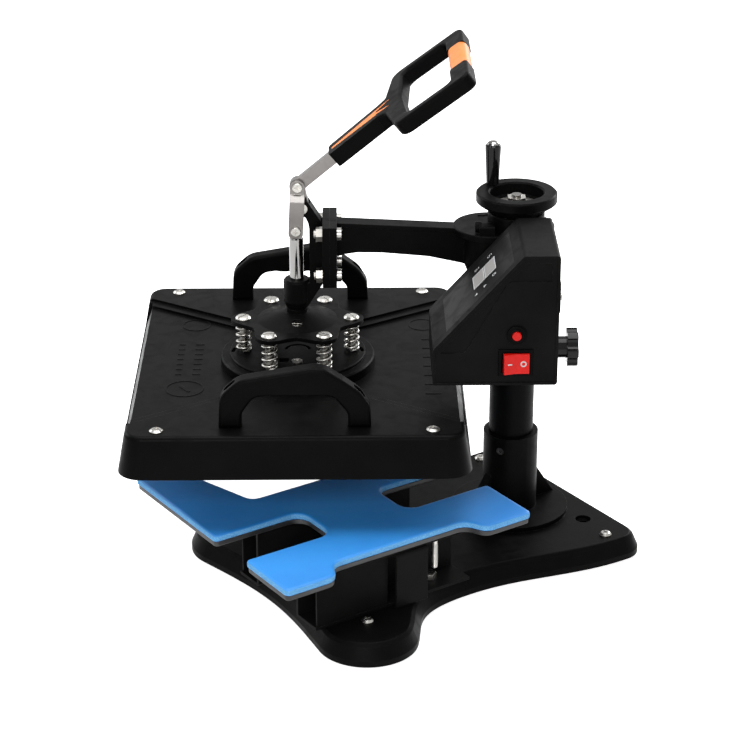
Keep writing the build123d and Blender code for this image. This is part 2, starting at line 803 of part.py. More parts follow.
def heater_path(width):
    """Plan of the serpentine heater: five runs joined by half rings."""
    runs = 5
    half = ELEMENT_X - ELEMENT_STEP / 2
    plan = None
    for i in range(runs):
        y = (i - (runs - 1) / 2) * ELEMENT_STEP
        run = Pos(0, y) * Rectangle(2 * half, width)
        plan = run if plan is None else plan + run
    for i in range(runs - 1):
        y = (i + 0.5 - (runs - 1) / 2) * ELEMENT_STEP
        side = 1 if i % 2 == 0 else -1
        ring = Circle(ELEMENT_STEP / 2 + width / 2) - Circle(ELEMENT_STEP / 2 - width / 2)
        keep = Pos(side * ELEMENT_STEP / 2, 0) * Rectangle(ELEMENT_STEP, 2 * ELEMENT_STEP)
        plan = plan + Pos(side * half, y) * (ring & keep)
    return plan


def heating_element():
    return extrude(Pos(0, 0, HEAT_TOP - ELEMENT_T) * heater_path(ELEMENT_W), ELEMENT_T)


def heat_plate():
    """Aluminium plate with the heater let into its top."""
    plate = extrude(Pos(0, 0, HEAT_LOW) * RectangleRounded(2 * HEAT_X, 2 * HEAT_Y, HEAT_CORNER_R), HEAT_T)
    edges = plate.faces().sort_by(Axis.Z)[0].edges()
    plate = fillet(edges, HEAT_EDGE_R)
    plate = plate - heating_element()
    for x, y in cover_screw_places():
        plate = plate - rod_z(COVER_SCREW_R, HEAT_TOP - 8, HEAT_TOP + 1, x, y)
    return plate


def cover_screw_places():
    return [(sx * COVER_SCREW_X, sy * COVER_SCREW_Y) for sx in (-1, 1) for sy in (-1, 1)]


def insulation():
    """Fibre board between the heat plate and the cover."""
    board = extrude(Pos(0, 0, HEAT_TOP) * Rectangle(2 * INSULATION_X, 2 * INSULATION_Y), INSULATION_T)
    for x, y in lobe_places():
        board = board - rod_z(STANDOFF_R, HEAT_TOP - 1, HEAT_TOP + INSULATION_T + 1, x, y)
    for x, y in cover_screw_places():
        board = board - rod_z(COVER_SCREW_R + 1, HEAT_TOP - 1, HEAT_TOP + INSULATION_T + 1, x, y)
    for x, y in handle_screw_places():
        board = board - rod_z(HANDLE_SCREW_R + 1.5, HEAT_TOP - 1, HEAT_TOP + INSULATION_T + 1, x, y)
    return board - rod_z(CUTOUT_R + SLIP_GAP, HEAT_TOP, HEAT_TOP + INSULATION_T + 1, 0, CUTOUT_Y)


def thermostat():
    """Over-temperature cut-out pressed on the heat plate, with its two tabs."""
    can = rod_z(CUTOUT_R, HEAT_TOP, HEAT_TOP + CUTOUT_H, 0, CUTOUT_Y)
    top = HEAT_TOP + CUTOUT_H
    left_tab = bar(-6, -3, CUTOUT_Y - 3, CUTOUT_Y + 3, top, top + 2)
    right_tab = bar(3, 6, CUTOUT_Y - 3, CUTOUT_Y + 3, top, top + 2)
    return can + left_tab + right_tab


def recess_plan(extra):
    """Bow-tie and disc that the cover's top is pressed down by."""
    inner = RECESS_X + extra
    far = COVER_Y + 20
    wide = inner + RECESS_SLOPE * far
    bow = make_face(Polyline((inner, 0), (wide, far), (-wide, far), (-inner, 0), (-wide, -far), (wide, -far),
                             close=True))
    return bow + Circle(RECESS_DISC_R + extra)


def cover_blank(x, y, height, corner):
    plan = Pos(0, 0, COVER_LOW) * RectangleRounded(2 * x, 2 * y, corner)
    return extrude(plan, height, taper=COVER_DRAFT)


def platen_cover():
    """Pressed steel cover: drafted rim, stepped recess with diagonal ribs, scalloped flanks."""
    cover = cover_blank(COVER_X, COVER_Y, COVER_H, COVER_CORNER_R)
    cover = fillet(cover.faces().sort_by(Axis.Z)[-1].edges(), COVER_ROUND)
    cover = cover - extrude(Pos(0, 0, COVER_TOP - COVER_STEP) * recess_plan(RECESS_BAND), COVER_STEP + 1)
    cover = cover - extrude(Pos(0, 0, COVER_TOP - COVER_DEEP) * recess_plan(0.0), COVER_DEEP + 1)
    for side in (-1, 1):
        flank = [
            (side * (COVER_Y - 11), COVER_TOP + 2), (side * (COVER_Y - 11), COVER_TOP - COVER_DEEP, 3),
            (side * (COVER_Y - 3.6), COVER_LOW + COVER_FLANK_LOW),
            (side * (COVER_Y + 12), COVER_LOW + COVER_FLANK_LOW),
            (side * (COVER_Y + 12), COVER_TOP + 2),
        ]
        reach = RECESS_X + RECESS_SLOPE * COVER_Y
        cover = cover - prism_x(flank, -reach, reach)
    cavity = cover_blank(COVER_X - COVER_WALL, COVER_Y - COVER_WALL, COVER_H - COVER_DEEP - COVER_WALL,
                         COVER_CORNER_R - COVER_WALL)
    notch = bar(-200, 200, -COVER_Y + 14.5, COVER_Y - 14.5, COVER_LOW - 1, COVER_TOP)
    low = bar(-200, 200, -200, 200, COVER_LOW - 1, COVER_LOW + COVER_FLANK_LOW - COVER_WALL)
    cavity = cavity & (notch + low)
    cover = cover - cavity
    roof = HEAT_TOP + INSULATION_T
    for x, y in lobe_places():
        cover = cover - rod_z(STANDOFF_R, roof, COVER_TOP + 1, x, y)
    for x, y in cover_screw_places():
        cover = cover - rod_z(COVER_SCREW_R, roof, COVER_TOP + 1, x, y)
    for x, y in handle_screw_places():
        cover = cover - rod_z(HANDLE_SCREW_R, roof, COVER_TOP + 1, x, y)
    return cover


def cover_screws():
    """Domed screws at the corners of the cover, down into the heat plate."""
    screws = []
    top = COVER_TOP + COVER_SCREW_HEAD_H
    for x, y in cover_screw_places():
        head = turned([(0, COVER_TOP), (COVER_SCREW_HEAD_R, COVER_TOP), (COVER_SCREW_HEAD_R, COVER_TOP + 0.7),
                       (COVER_SCREW_HEAD_R - 2, top - 0.3), (COVER_SCREW_HEAD_R - 3.2, top), (0, top)], x, y)
        shank = rod_z(COVER_SCREW_R, HEAT_TOP - 8, COVER_TOP, x, y)
        screws.append(head + shank - cross_slot(COVER_SCREW_HEAD_R, 1.2, 1.3, Pos(x, y, top)))
    return screws


def standoffs():
    """Six sleeves that carry the load from the mount disc to the heat plate."""
    return [rod_z(STANDOFF_R, HEAT_TOP, DISC_LOW, x, y) for x, y in lobe_places()]


def mount_disc():
    """Stepped round plate that the spring screws are threaded into."""
    disc = turned([(0, DISC_LOW), (DISC_R, DISC_LOW), (DISC_R, DISC_LOW + DISC_T - 1.5),
                   (DISC_R - 1.5, DISC_LOW + DISC_T),
                   (DISC_STEP_R, DISC_LOW + DISC_T), (DISC_STEP_R, DISC_TOP - 0.8),
                   (DISC_STEP_R - 0.8, DISC_TOP), (0, DISC_TOP)])
    for x, y in lobe_places():
        disc = disc - rod_z(SHOULDER_R, DISC_LOW + 1, DISC_TOP + 1, x, y)
    arc = (Circle(13.6) - Circle(10.4)) & Pos(-15, 0) * Rectangle(30, 40)
    disc = disc - extrude(Pos(0, 0, DISC_TOP - 6) * arc, 7)
    disc = disc - bar(22, 31, -18, -8, DISC_TOP - 5, DISC_TOP + 1)
    disc = disc - rod_z(3, DISC_TOP - 8, DISC_TOP + 1, 31, 0)
    for side in (-1, 1):
        slot = Pos(0, side * (DISC_STEP_R - 4), DISC_TOP - 3) * Rot(0, 0, side * 12) * Box(11, 3.6, 6.2)
        disc = disc - slot
    return disc


def earth_screw():
    """Small pan head screw on the mount disc, beside its square notch."""
    head = rod_z(5.3, DISC_TOP, DISC_TOP + 1.6, 31, 0) - rod_z(2.4, DISC_TOP + 0.8, DISC_TOP + 2, 31, 0)
    return head + rod_z(3, DISC_TOP - 8, DISC_TOP, 31, 0)


def shoulder_screws():
    """Slotted screws through the spider, on which the platen hangs and floats."""
    screws = []
    top = SPIDER_TOP + SHOULDER_HEAD_H
    for i, (x, y) in enumerate(lobe_places()):
        head = turned([(0, SPIDER_TOP), (SHOULDER_HEAD_R, SPIDER_TOP), (SHOULDER_HEAD_R, SPIDER_TOP + 1.1),
                       (SHOULDER_HEAD_R - 1.8, top - 0.3), (SHOULDER_HEAD_R - 3, top), (0, top)], x, y)
        shank = rod_z(SHOULDER_R, DISC_LOW + 1, SPIDER_TOP, x, y)
        slot = Pos(x, y, top) * Rot(0, 0, 25 + 37 * i) * Box(3 * SHOULDER_HEAD_R, 1.5, 2.8)
        screws.append(head + shank - slot)
    return screws


def biarc(p0, t0, p1, t1):
    """Two tangent arcs between two points with given directions."""
    v = p1 - p0
    s = t0 + t1
    a = s.dot(s) - 4
    b = -2 * v.dot(s)
    c = v.dot(v)
    d = (-b - math.sqrt(b * b - 4 * a * c)) / (2 * a)
    q0 = p0 + t0 * d
    q1 = p1 - t1 * d
    joint = (q0 + q1) * 0.5
    along = (q1 - q0).normalized()
    return [Edge.make_tangent_arc(p0, t0, joint), Edge.make_tangent_arc(joint, along, p1)]


def spring_height(turn):
    """Height of the wire's centre after so many turns: closed end turns and an open middle."""
    closed = 2 * SPRING_WIRE_R + 0.5
    low = DISC_TOP + SPRING_WIRE_R + 0.05
    high = SPIDER_LOW - SPRING_WIRE_R - SLIP_GAP
    open_turns = SPRING_TURNS - 2
    pitch = (high - low - 2 * closed) / open_turns
    if turn <= 1:
        return low + closed * turn
    if turn <= SPRING_TURNS - 1:
        return low + closed + pitch * (turn - 1)
    return high - closed * (SPRING_TURNS - turn)


def spring_point(turn):
    angle = 2 * math.pi * turn
    return Vector(SPRING_R * math.cos(angle), SPRING_R * math.sin(angle), spring_height(turn))


def spring_direction(turn):
    angle = 2 * math.pi * turn
    step = 0.25
    low = max(turn - step, 0)
    high = min(turn + step, SPRING_TURNS)
    rise = (spring_height(high) - spring_height(low)) / (high - low)
    run = 2 * math.pi * SPRING_R
    return Vector(-math.sin(angle) * run, math.cos(angle) * run, rise).normalized()


def spring():
    """One compression spring: an unbroken wire on quarter-turn biarcs."""
    edges = []
    quarters = 4 * SPRING_TURNS
    for i in range(quarters):
        a = i / 4
        b = (i + 1) / 4
        edges.extend(biarc(spring_point(a), spring_direction(a), spring_point(b), spring_direction(b)))
    path = Wire(edges)
    start = Plane(origin=spring_point(0), z_dir=spring_direction(0))
    return sweep(start * Circle(SPRING_WIRE_R), path=path)


def spring_least_gap():
    """Least gap between neighbouring turns, on points along the wire."""
    steps = 48
    points = [spring_point(i / steps) for i in range(steps * SPRING_TURNS + 1)]
    least = 1e9
    for i, p in enumerate(points):
        for q in points[i + steps // 2:]:
            least = min(least, (q - p).length)
    return least - 2 * SPRING_WIRE_R


def platen_springs():
    one = spring()
    return [Pos(x, y, 0) * one for x, y in lobe_places()]


def spider():
    """Six-lobed plate with a domed middle, clamped on the plunger rod."""
    middle = (SPIDER_TIP_R + SPIDER_NECK_R) / 2
    swing = (SPIDER_TIP_R - SPIDER_NECK_R) / 2
    points = []
    count = 48
    for i in range(count):
        angle = 2 * math.pi * i / count
        radius = middle + swing * math.cos(LOBE_COUNT * angle)
        points.append(Vector(radius * math.sin(angle), radius * math.cos(angle), SPIDER_LOW))
    rim = Edge.make_spline(points, periodic=True)
    plate = extrude(Face(Wire([rim])), SPIDER_T, dir=(0, 0, 1))
    dome = turned([(0, SPIDER_LOW), (DOME_R, SPIDER_LOW), (DOME_R, SPIDER_TOP),
                   (DOME_R * 0.8, SPIDER_TOP + DOME_H * 0.28),
                   (DOME_R * 0.58, SPIDER_TOP + DOME_H * 0.62), (DOME_TOP_R, SPIDER_TOP + DOME_H),
                   (SPIDER_COLLAR_R, SPIDER_TOP + DOME_H), (SPIDER_COLLAR_R, SPIDER_TOP + SPIDER_COLLAR_H),
                   (0, SPIDER_TOP + SPIDER_COLLAR_H)])
    body = plate + dome
    body = body - rod_z(ROD_R, SPIDER_LOW + 1, SPIDER_TOP + SPIDER_COLLAR_H + 1)
    for x, y in lobe_places():
        body = body - rod_z(SHOULDER_R + SLIP_GAP, SPIDER_LOW - 1, SPIDER_TOP + 1, x, y)
    return body - rod_z(PLUG_R, PLUG_LOW, SPIDER_TOP + DOME_H + 2, PLUG_X, 0)


PLUG_LOW = SPIDER_TOP - 2.0


def spider_plug():
    """Slotted plug in the dome."""
    plug = rod_z(PLUG_R, PLUG_LOW, PLUG_LOW + PLUG_H, PLUG_X, 0)
    return plug - Pos(PLUG_X, 0, PLUG_LOW + PLUG_H) * Box(1.5, 2 * PLUG_R - 2, 2.4)


def plunger_rod():
    """Chromed rod with a flat tongue and a cross pin at its top."""
    low = SPIDER_LOW + 1
    top = SPIDER_TOP + ROD_LEN_UP
    rod = rod_z(ROD_R, low, top)
    rod = chamfer(rod.faces().sort_by(Axis.Z)[-1].edges(), 1.0)
    tongue = prism_x([(-ROD_R + 1, top - 3), (ROD_R - 1, top - 3), (ROD_R - 1, PIN_C_Z),
                      (4.5, PIN_C_Z + 5, 2),
                      (-4.5, PIN_C_Z + 5, 2), (-ROD_R + 1, PIN_C_Z)], -TONGUE_HALF, TONGUE_HALF)
    pin = rod_x(3.5, -STRAP_LINK_IN + SLIP_GAP, STRAP_LINK_IN - SLIP_GAP, 0, PIN_C_Z)
    return rod + tongue + pin


def link_frame():
    """Head-frame place whose z axis points from pin B back up the link."""
    tilt = LINK_ANGLE - 270.0
    return Pos(0, PIN_B_Y, PIN_B_Z) * Rot(tilt, 0, 0)


def link_straps():
    """Two joggled straps: close to the lever at pin B, outside the ears below it."""
    tab = LEVER_T / 2 + SLIP_GAP
    outer = STRAP_LINK_IN
    up = STRAP_LINK_HALF
    down = LINK_LEN + STRAP_LINK_HALF
    t = STRAP_LINK_T
    side = [
        (tab, up), (tab + t, up), (tab + t, -JOGGLE_START, 1.0),
        (outer + t, -JOGGLE_START - JOGGLE_DROP, 1.0),
        (outer + t, -down), (outer, -down), (outer, -JOGGLE_START - JOGGLE_DROP - 1, 1.0),
        (tab, -JOGGLE_START - 1, 1.0),
    ]
    blank = prism_y(side, -STRAP_LINK_HALF, STRAP_LINK_HALF)
    trim_plan = [(-up, up, up - 0.05), (up, up, up - 0.05), (up, -down, 5.0), (-up, -down, 5.0)]
    trim = prism_x(trim_plan, 0, outer + t + 1)
    strap = blank & trim
    strap = strap - rod_x(PIN_R, 0, outer, 0, 0)
    return [link_frame() * piece for piece in both_sides(strap)]


def screw_head_x(x0, x1, radius, frame, y=0.0, z=0.0):
    """A domed crosshead screw head facing along X, from x0 outwards to x1."""
    head = rod_x(radius, min(x0, x1), max(x0, x1), y, z)
    face = head.faces().sort_by(Axis.X)[-1 if x1 > x0 else 0]
    head = fillet(face.edges(), 1.0)
    cross = Pos(x1, y, z) * (Box(2.4, radius * 1.1, 1.1) + Box(2.4, 1.1, radius * 1.1))
    return frame * (head - cross)


def link_pin():
    """Pin B through the lever, with a crosshead screw at each end."""
    edge = LEVER_T / 2 + SLIP_GAP + STRAP_LINK_T
    frame = link_frame()
    pin = frame * rod_x(PIN_R, -edge, edge, 0, 0)
    return pin + screw_head_x(edge, edge + LINK_SCREW_H, LINK_SCREW_R, frame) \
        + screw_head_x(-edge, -edge - LINK_SCREW_H, LINK_SCREW_R, frame)


def link_foot_screws():
    """Crosshead screws at the plunger end of the straps."""
    edge = STRAP_LINK_IN + STRAP_LINK_T
    frame = link_frame()
    return [screw_head_x(edge, edge + LINK_SCREW_H, LINK_SCREW_R, frame, 0, -LINK_LEN),
            screw_head_x(-edge, -edge - LINK_SCREW_H, LINK_SCREW_R, frame, 0, -LINK_LEN)]


def lever_frame():
    """Head-frame place at pin B whose y axis runs out along the lever."""
    return Pos(0, PIN_B_Y, PIN_B_Z) * Rot(LEVER_ELEVATION, 0, 0)


def lever_bar():
    """Flat steel lever: a crank from pivot A to pin B and a bar out to the grip."""
    t = LEVER_T / 2
    crank_turn = CRANK_ANGLE - 90.0
    crank = Pos(0, LEVER_PIVOT_Y, PIVOT_Z) * Rot(crank_turn, 0, 0) * (
        rod_x(LEVER_HUB_R, -t, t, 0, 0) + bar(-t, t, -LEVER_HUB_R, LEVER_HUB_R, 0, CRANK_R))
    arm = lever_frame() * (rod_x(LEVER_END_R, -t, t, 0, 0)
                           + bar(-t, t, 0, GRIP_START + BAR_IN_GRIP, -BAR_HALF_H, BAR_HALF_H))
    body = crank + arm
    body = body - rod_x(PIN_R + RUNNING_FIT, -t - 1, t + 1, LEVER_PIVOT_Y, PIVOT_Z)
    return body - rod_x(PIN_R + RUNNING_FIT, -t - 1, t + 1, PIN_B_Y, PIN_B_Z)


def ring_frame():
    """Top face of the ring handle: y runs on along the ring, z is up out of its face."""
    return lever_frame() * Pos(0, GRIP_START + GRIP_LEN, GRIP_TOP) * Rot(-RING_BEND, 0, 0)


def inlay_plan(extra):
    """Wedge with a forked end, drawn on the grip's top face."""
    y0 = GRIP_START + 4 - extra
    y1 = GRIP_START + GRIP_LEN + 6 + extra
    half0 = 2.2 + extra
    half1 = 9.0 + extra
    fork = GRIP_START + GRIP_LEN - 10
    return make_face(Polyline((-half0, y0), (half0, y0), (half1, y1), (0, fork), (-half1, y1), close=True))


def lever_handle():
    """Moulded shaft and D-shaped ring with its cross grip."""
    y0 = GRIP_START
    y1 = GRIP_START + GRIP_LEN
    shaft_plan = make_face(Polyline((-GRIP_HALF_W0, y0), (GRIP_HALF_W0, y0), (GRIP_HALF_W1, y1 + 4),
                                    (-GRIP_HALF_W1, y1 + 4), close=True))
    shaft = extrude(Pos(0, 0, GRIP_TOP - GRIP_TALL) * shaft_plan, GRIP_TALL)
    shaft = fillet(shaft.edges().filter_by(Axis.Z).sort_by(Axis.Y)[:2], 5.0)
    shaft = lever_frame() * shaft
    outer = [
        (RING_NECK_HALF, 0, 6), (RING_HALF_W, RING_SHOULDER, RING_CORNER_R), (RING_HALF_W, RING_LEN, 9),
        (-RING_HALF_W, RING_LEN, 9), (-RING_HALF_W, RING_SHOULDER, RING_CORNER_R), (-RING_NECK_HALF, 0, 6),
        (-GRIP_HALF_W1, -10), (GRIP_HALF_W1, -10),
    ]
    window = [
        (WINDOW_HALF_W, WINDOW_START + 5, 9), (WINDOW_HALF_W, WINDOW_END, 7), (-WINDOW_HALF_W, WINDOW_END, 7),
        (-WINDOW_HALF_W, WINDOW_START + 5, 9), (0, WINDOW_START, 30),
    ]
    ring = prism_z(outer, -GRIP_TALL, 0) - prism_z(window, -GRIP_TALL - 1, 1)
    long_edges = ring.edges().filter_by(lambda e: abs(e.center().Z) < 0.01 or abs(e.center().Z + GRIP_TALL) < 0.01)
    long_edges = long_edges.filter_by(lambda e: e.center().Y > 3)
    ring = fillet(long_edges, 3.4)
    sleeve_gap = bar(-GRIP_SLEEVE_HALF, GRIP_SLEEVE_HALF, WINDOW_END - 1, RING_LEN + 1, -GRIP_TALL - 1, 1)
    core = sleeve_core(GRIP_SLEEVE_HALF)
    ring = ring - (sleeve_gap - core)
    body = shaft + ring_frame() * ring
    body = body - lever_bar()
    inlay = lever_frame() * extrude(Pos(0, 0, GRIP_TOP - INLAY_T) * inlay_plan(0.0), INLAY_T + 3)
    return body - inlay


def sleeve_core(half):
    """The square core that the grip sleeve is moulded on."""
    middle = (WINDOW_END + RING_LEN) / 2
    return bar(-half, half, middle - 5, middle + 5, -GRIP_TALL / 2 - 4, -GRIP_TALL / 2 + 4)


def grip_sleeve():
    """Coloured sleeve round the middle of the cross grip."""
    y0 = WINDOW_END
    y1 = RING_LEN
    round_r = 6.5
    section = [(y0, 0, round_r), (y1, 0, round_r), (y1, -GRIP_TALL, round_r), (y0, -GRIP_TALL, round_r)]
    sleeve = prism_x(section, -GRIP_SLEEVE_HALF, GRIP_SLEEVE_HALF)
    return ring_frame() * (sleeve - sleeve_core(GRIP_SLEEVE_HALF + 1))


def lever_inlay():
    """Coloured wedge let into the top of the shaft."""
    full = lever_frame() * extrude(Pos(0, 0, GRIP_TOP - INLAY_T) * inlay_plan(0.0), INLAY_T)
    return full


FLANGE_BOLT_HEIGHTS = (FLANGE_LOW + FLANGE_BOLT_IN, FLANGE_HIGH - FLANGE_BOLT_IN)
FLANGE_BOLT_PLACES = [(sx * FLANGE_BOLT_X, z) for sx in (-1, 1) for z in FLANGE_BOLT_HEIGHTS]


def head_casting():
    """Plunger guide, upright and lever ears on a bolted flange."""
    up = PIVOT_Z
    side = [
        (UPRIGHT_Y1, up - 16), (LEVER_PIVOT_Y + 4, up + 9.5, 1.5), (LEVER_PIVOT_Y - 0.5, up + EAR_R - 0.1),
        (LEVER_PIVOT_Y - 0.5, up - EAR_R + 0.1), (LEVER_PIVOT_Y + 3.5, up - 9.5), (UPRIGHT_Y0 - 1, up - 15),
        (UPRIGHT_Y0, up - 21), (UPRIGHT_Y0, GUIDE_TOP - 2), (UPRIGHT_Y0 - 5, GUIDE_TOP - 2),
        (UPRIGHT_Y0 - 6, GUIDE_LOW + 1.5), (UPRIGHT_Y0 - 3, GUIDE_LOW + 1.5, 3),
        (UPRIGHT_Y1, FLANGE_LOW - 4, 5),
    ]
    body = prism_x(side, -UPRIGHT_HALF, UPRIGHT_HALF)
    body = body + rod_x(EAR_R, -UPRIGHT_HALF, UPRIGHT_HALF, LEVER_PIVOT_Y, up)
    guide = turned([(0, GUIDE_LOW), (GUIDE_TIP_R, GUIDE_LOW), (GUIDE_R, GUIDE_LOW + 7),
                    (GUIDE_R, GUIDE_TOP - 2),
                    (GUIDE_R - 1.5, GUIDE_TOP), (0, GUIDE_TOP)])
    body = body + guide
    body = body + bar(-FLANGE_HALF_W, FLANGE_HALF_W, UPRIGHT_Y1, UPRIGHT_Y1 + FLANGE_T, FLANGE_LOW,
                      FLANGE_HIGH)
    slot_half = LEVER_T / 2 + SLIP_GAP
    body = body - bar(-slot_half, slot_half, LEVER_PIVOT_Y - 20, UPRIGHT_Y0 + 0.6, up - 31, up + 20)
    body = body - rod_z(ROD_R + RUNNING_FIT, GUIDE_LOW - 1, GUIDE_TOP + 1)
    body = body - rod_x(PIN_R, -UPRIGHT_HALF - 1, UPRIGHT_HALF + 1, LEVER_PIVOT_Y, up)
    for x, z in FLANGE_BOLT_PLACES:
        body = body - rod_y(FLANGE_BOLT_R, UPRIGHT_Y1 - 1, UPRIGHT_Y1 + FLANGE_T + 1, x, z)
    return body


def lever_pivot_pin():
    """Pivot A: a headed pin fixed in the two ears."""
    pin = rod_x(PIN_R, -UPRIGHT_HALF, UPRIGHT_HALF, LEVER_PIVOT_Y, PIVOT_Z)
    head = rod_x(PIVOT_HEAD_R, UPRIGHT_HALF, UPRIGHT_HALF + PIVOT_HEAD_H, LEVER_PIVOT_Y, PIVOT_Z)
    tail = rod_x(PIVOT_HEAD_R, -UPRIGHT_HALF - PIVOT_HEAD_H, -UPRIGHT_HALF, LEVER_PIVOT_Y, PIVOT_Z)
    return pin + head + tail


def flange_bolts():
    """Four bolts through the flanges, heads on the post side."""
    y0 = UPRIGHT_Y1 - NUT_H - 2
    y1 = UPRIGHT_Y1 + 2 * FLANGE_T
    return [rod_y(FLANGE_BOLT_R, y0, y1, x, z) + rod_y(6.4, y1, y1 + 4.5, x, z)
            for x, z in FLANGE_BOLT_PLACES]


def flange_nuts():
    y1 = UPRIGHT_Y1
    return [hexagon_y(NUT_FLATS, y1 - NUT_H, y1, x, z) - rod_y(FLANGE_BOLT_R, y1 - NUT_H - 1, y1 + 1, x, z)
            for x, z in FLANGE_BOLT_PLACES]


def hull_plan(radius0, y0, radius1, y1):
    """Plan of two circles on the Y axis and the flanks between them."""
    d = y1 - y0
    lean = math.asin((radius0 - radius1) / d)
    c = math.cos(lean)
    s = math.sin(lean)
    flank = make_face(Polyline((radius0 * c, y0 + radius0 * s), (radius1 * c, y1 + radius1 * s),
                               (-radius1 * c, y1 + radius1 * s), (-radius0 * c, y0 + radius0 * s),
                               close=True))
    return flank + Pos(0, y0) * Circle(radius0) + Pos(0, y1) * Circle(radius1)


def arm_casting():
    """Arm, hub, lid and the long sleeve that runs on the post."""
    y0 = UPRIGHT_Y1 + FLANGE_T
    y1 = y0 + FLANGE_T
    high = HUB_TOP - LID_T
    web = [
        (y1 - 1, high - 24.6), (y1 - 1, high + 10.9), (y1 + 1, high + 10.9), (HUB_NOSE_Y - 37, high + 5.4),
        (HUB_NOSE_Y, high + 2), (HUB_NOSE_Y, high - 40), (HUB_NOSE_Y - 28, high - 31.6, 20),
        (HUB_NOSE_Y - 60, high - 24.6, 60), (y1 + 45, high - 20.6, 60), (y1 + 20, high - 20.2, 30),
        (y1 + 8, high - 22),
    ]
    arm = prism_x(web, -ARM_HALF_T, ARM_HALF_T)
    lip = [
        (y1 - 1, high + 10.9 - ARM_LIP_H), (y1 - 1, high + 10.9), (y1 + 1, high + 10.9),
        (HUB_NOSE_Y - 37, high + 5.4),
        (HUB_NOSE_Y - 18, high + 3.7), (HUB_NOSE_Y - 18, high + 3.7 - ARM_LIP_H),
        (HUB_NOSE_Y - 37, high + 5.4 - ARM_LIP_H),
    ]
    arm = arm + prism_x(lip, -ARM_LIP_HALF, ARM_LIP_HALF)
    plate = bar(-FLANGE_HALF_W, FLANGE_HALF_W, y0, y1, FLANGE_LOW, FLANGE_HIGH)
    for x, z in FLANGE_BOLT_PLACES:
        plate = plate - rod_y(FLANGE_BOLT_R, y0 - 1, y1 + 1, x, z)
    hub = extrude(Pos(0, 0, HUB_NOSE_LOW + 13) * hull_plan(HUB_NOSE_R, HUB_NOSE_Y, HUB_R, REACH),
                  high - HUB_NOSE_LOW - 13)
    lower = extrude(Pos(0, 0, HUB_NOSE_LOW + 13) * hull_plan(HUB_NOSE_R, HUB_NOSE_Y, HUB_R, REACH), -13,
                    taper=22)
    lid = extrude(Pos(0, 0, high) * hull_plan(LID_R, HUB_NOSE_Y, LID_R, REACH + 2), LID_T)
    lid = fillet(lid.edges().sort_by(Axis.Z)[-4:], 1.2)
    sleeve = rod_z(HUB_R, SLEEVE_LOW, high, 0, REACH)
    body = arm + plate + hub + lower + lid + sleeve
    body = body + bar(HUB_R - 14, BOX_X0, REACH - BOX_PAD_HALF_Y, REACH + BOX_PAD_HALF_Y, BOX_PAD_LOW,
                      BOX_PAD_HIGH)
    body = body + arrow_relief()
    body = body - rod_z(BORE_R, SLEEVE_LOW - 1, high, 0, REACH)
    body = body - rod_z(SCREW_R + 1, high - 1, HUB_TOP + 1, 0, REACH)
    for x, y in cap_screw_places():
        body = body - rod_z(CAP_SCREW_R, HUB_TOP - 4, HUB_TOP + 1, x, y)
    body = body - rod_y(KNOB_SCREW_R + RUNNING_FIT, REACH + POST_R, REACH + HUB_R + 1, 0, KNOB_Z)
    for y, z in box_screw_places():
        body = body - rod_x(2.5, HUB_R - 8, BOX_X0 + 1, y, z)
    return body


def arrow_relief():
    """Raised arrow on the lid that shows the way the head swings."""
    ring = Circle(27.5) - Circle(25.9)
    keep = make_face(Polyline((0, 0), (-40, -16), (-40, 8), close=True))
    shaft = Pos(0, HUB_NOSE_Y) * (ring & keep)
    tip = make_face(Polyline((-24.5, HUB_NOSE_Y - 3.5), (-28.5, HUB_NOSE_Y - 3.5), (-25, HUB_NOSE_Y - 10.5),
                             close=True))
    shape = extrude(Pos(0, 0, HUB_TOP - 0.2) * shaft, ARROW_H + 0.2)
    return shape + extrude(Pos(0, 0, HUB_TOP - 0.2) * tip, ARROW_H + 0.2)


def cap_screw_places():
    return [(CAP_SCREW_RING * math.cos(a), REACH + CAP_SCREW_RING * math.sin(a))
            for a in [math.radians(30 + 60 * i) for i in range(6)]]


def bearing_cap():
    """Cap over the pressure screw's collar, screwed on the hub."""
    cap = rod_z(CAP_R, HUB_TOP, HUB_TOP + CAP_H, 0, REACH)
    cap = fillet(cap.faces().sort_by(Axis.Z)[-1].edges(), CAP_EDGE_R)
    cap = cap - rod_z(CAP_BORE_R, HUB_TOP - 1, HUB_TOP + CAP_H - CAP_ROOF, 0, REACH)
    cap = cap - rod_z(SCREW_R + 0.4, HUB_TOP, HUB_TOP + CAP_H + 1, 0, REACH)
    for x, y in cap_screw_places():
        cap = cap - rod_z(CAP_SCREW_R, HUB_TOP - 1, HUB_TOP + CAP_H + 1, x, y)
    return cap


def cap_screws():
    """Six flush screws round the cap."""
    top = HUB_TOP + CAP_H
    screws = []
    for x, y in cap_screw_places():
        screws.append(rod_z(CAP_SCREW_R, HUB_TOP - 4, top - 0.6, x, y) - hexagon_z(2.2, top - 2.6, top, x, y))
    return screws


def thrust_ring():
    """Bearing ring between the screw's collar and the cap; it rides up and down with them."""
    roof = HUB_TOP + CAP_H - CAP_ROOF
    ring = rod_z(CAP_BORE_R - 0.5, roof - THRUST_T, roof, 0, REACH)
    return ring - rod_z(SCREW_R + 0.4, roof - THRUST_T - 1, roof + 1, 0, REACH)


def wheel_low():
    return HUB_TOP + CAP_H + WHEEL_GAP


def pressure_screw():
    """Screw from the post's nut up through the cap to the handwheel."""
    roof = HUB_TOP + CAP_H - CAP_ROOF
    screw = rod_z(SCREW_R, POST_TOP - SCREW_BELOW, wheel_low(), 0, REACH)
    collar = rod_z(COLLAR_R, roof - THRUST_T - COLLAR_T, roof - THRUST_T, 0, REACH)
    spigot = rod_z(SCREW_R - 3, wheel_low(), wheel_low() + WHEEL_WEB_T + WHEEL_RING_T + WHEEL_NUT_H + 2.4, 0,
                   REACH)
    return screw + collar + spigot


